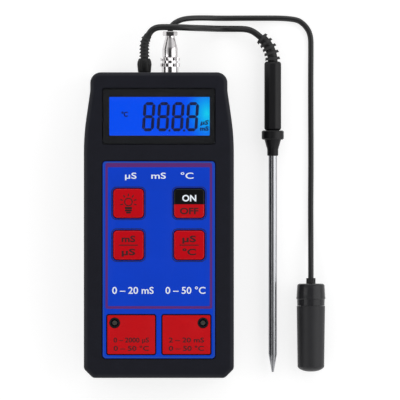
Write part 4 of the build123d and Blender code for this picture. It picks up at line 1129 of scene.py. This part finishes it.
class TESTER_OT_stage(TesterPart, bpy.types.Operator):
    """Add the pale floor, the studio light and the camera over the tester"""

    bl_idname = "tester.stage"
    bl_label = "Stage"

    # Name, place, size across and along, and power in watts of each soft box
    soft_boxes = [
        ("right_box", (0.62, 0.1, 0.42), (0.45, 0.9), 1.7),
        ("left_box", (-0.62, 0.0, 0.40), (0.3, 0.9), 0.9),
        ("head_box", (0.1, 0.75, 0.40), (0.9, 0.4), 1.6),
        ("foot_box", (0.0, -0.8, 0.7), (0.6, 0.3), 0.6),
    ]
    floor_reach, floor_corner = 6.0, 1.0
    clip = (0.05, 20.0)

    # Height of a direction, from level at 0 to straight up at 1, and the dome's grey there
    sky_levels = [(0.0, 0.1), (0.14, 0.95), (0.62, 0.95), (0.88, 0.30), (0.97, 0.05)]

    def execute(self, context):
        self.add_floor()
        self.add_sky(context.scene)
        for box in self.soft_boxes:
            self.add_soft_box(*box)
        self.add_camera(context.scene)
        context.scene.view_settings.view_transform = "Standard"
        return {"FINISHED"}

    def add_floor(self):
        """A wide pale sheet just under the tester."""
        reach = self.floor_reach
        corners = rounded_outline((0, 0), reach, reach, self.floor_corner)
        mesh = mesh_of("floor", at_height(corners, 0.0), [range(len(corners))])
        material, tree, shader, place = new_material(
            "floor_paper", Roughness=0.9, Specular_IOR_Level=0.1
        )
        tone = mottle(tree, place, linear("a8a8a8"), 0.4, 0.01)
        tree.links.new(tone, shader.inputs["Base Color"])
        rays = add_node(tree, "ShaderNodeLightPath")
        plain = add_node(
            tree,
            "ShaderNodeMath",
            {0: rays.outputs["Is Camera Ray"], 1: rays.outputs["Is Glossy Ray"]},
            operation="MAXIMUM",
        )
        through = add_node(
            tree,
            "ShaderNodeMath",
            {0: plain.outputs[0], 1: rays.outputs["Is Transmission Ray"]},
            operation="MAXIMUM",
        )
        seen = add_node(
            tree, "ShaderNodeMath", {0: through.outputs[0], 1: FLOOR_STRENGTH}, operation="MULTIPLY"
        )
        shader.inputs["Emission Color"].default_value = (1, 1, 1, 1)
        tree.links.new(seen.outputs[0], shader.inputs["Emission Strength"])
        mesh.materials.append(material)
        floor = bpy.data.objects.new("floor", mesh)
        bpy.context.scene.collection.objects.link(floor)

    def add_sky(self, scene):
        """A pale dome that is darker straight above, where the camera stands."""
        world = bpy.data.worlds.new("studio_dome")
        scene.world = world
        world.use_nodes = True
        tree = world.node_tree
        tree.nodes.clear()
        direction = add_node(tree, "ShaderNodeTexCoord").outputs["Generated"]
        height = add_node(tree, "ShaderNodeSeparateXYZ", {"Vector": direction}).outputs["Z"]
        levels = add_node(tree, "ShaderNodeValToRGB", {"Fac": height})
        stops = levels.color_ramp.elements
        while len(stops) < len(self.sky_levels):
            stops.new(1.0)
        for stop, (position, level) in zip(stops, self.sky_levels):
            stop.position = position
            stop.color = (level, level, level, 1.0)
        rays = add_node(tree, "ShaderNodeLightPath").outputs["Is Camera Ray"]
        seen = add_node(
            tree,
            "ShaderNodeMix",
            {0: rays, 6: levels.outputs["Color"], 7: linear("f6f6f6")},
            data_type="RGBA",
        )
        background = add_node(
            tree, "ShaderNodeBackground", {"Color": seen.outputs[2], "Strength": 1.0}
        )
        add_node(tree, "ShaderNodeOutputWorld", {"Surface": background.outputs[0]})

    def add_soft_box(self, name, place, spans, power):
        """A soft box aimed at the tester."""
        light = bpy.data.lights.new(name, "AREA")
        light.shape = "RECTANGLE"
        light.size, light.size_y = spans
        light.energy = power
        lamp = bpy.data.objects.new(name, light)
        bpy.context.scene.collection.objects.link(lamp)
        lamp.location = place
        aim = Vector((VIEW_CENTRE[0], VIEW_CENTRE[1], 0)) - Vector(place)
        lamp.rotation_euler = aim.to_track_quat("-Z", "Y").to_euler()
        lamp.visible_camera = False

    def add_camera(self, scene):
        """A far camera straight above, framed as the photograph is."""
        data = bpy.data.cameras.new("overhead")
        data.sensor_width = SENSOR_WIDTH
        data.lens = SENSOR_WIDTH * CAMERA_HEIGHT / VIEW_WIDTH
        data.clip_start, data.clip_end = self.clip
        camera = bpy.data.objects.new("overhead", data)
        scene.collection.objects.link(camera)
        camera.location = (*VIEW_CENTRE, CAMERA_HEIGHT)
        scene.camera = camera


OPERATORS = (
    TESTER_OT_case,
    TESTER_OT_display,
    TESTER_OT_faceplate,
    TESTER_OT_keys,
    TESTER_OT_calibration,
    TESTER_OT_board,
    TESTER_OT_battery,
    TESTER_OT_connectors,
    TESTER_OT_temperature_probe,
    TESTER_OT_conductivity_probe,
    TESTER_OT_leads,
    TESTER_OT_stage,
)


class TESTER_PT_parts(bpy.types.Panel):
    """Lists the tester's parts in the sidebar"""

    bl_label = "Conductivity tester"
    bl_space_type = "VIEW_3D"
    bl_region_type = "UI"
    bl_category = "Tester"

    def draw(self, context):
        layout = self.layout
        for operator in OPERATORS:
            layout.operator(operator.bl_idname)
        for group in (context.scene.tester_sizes, context.scene.tester_colours):
            box = layout.box()
            for name in group.__annotations__:
                box.prop(group, name)


CLASSES = (TesterSizes, TesterColours, *OPERATORS, TESTER_PT_parts)


def register():
    """Register the classes and keep the sizes and colours on the scene."""
    for item in CLASSES:
        bpy.utils.register_class(item)
    bpy.types.Scene.tester_sizes = bpy.props.PointerProperty(type=TesterSizes)
    bpy.types.Scene.tester_colours = bpy.props.PointerProperty(type=TesterColours)


def unregister():
    """Undo what register does."""
    del bpy.types.Scene.tester_colours
    del bpy.types.Scene.tester_sizes
    for item in reversed(CLASSES):
        bpy.utils.unregister_class(item)


def main():
    """Build the looks in order."""
    register()
    bpy.ops.tester.case()
    bpy.ops.tester.display()
    bpy.ops.tester.faceplate()
    bpy.ops.tester.keys()
    bpy.ops.tester.calibration()
    bpy.ops.tester.board()
    bpy.ops.tester.battery()
    bpy.ops.tester.connectors()
    bpy.ops.tester.temperature_probe()
    bpy.ops.tester.conductivity_probe()
    bpy.ops.tester.leads()
    bpy.ops.tester.stage()


if __name__ == "__main__":
    main()
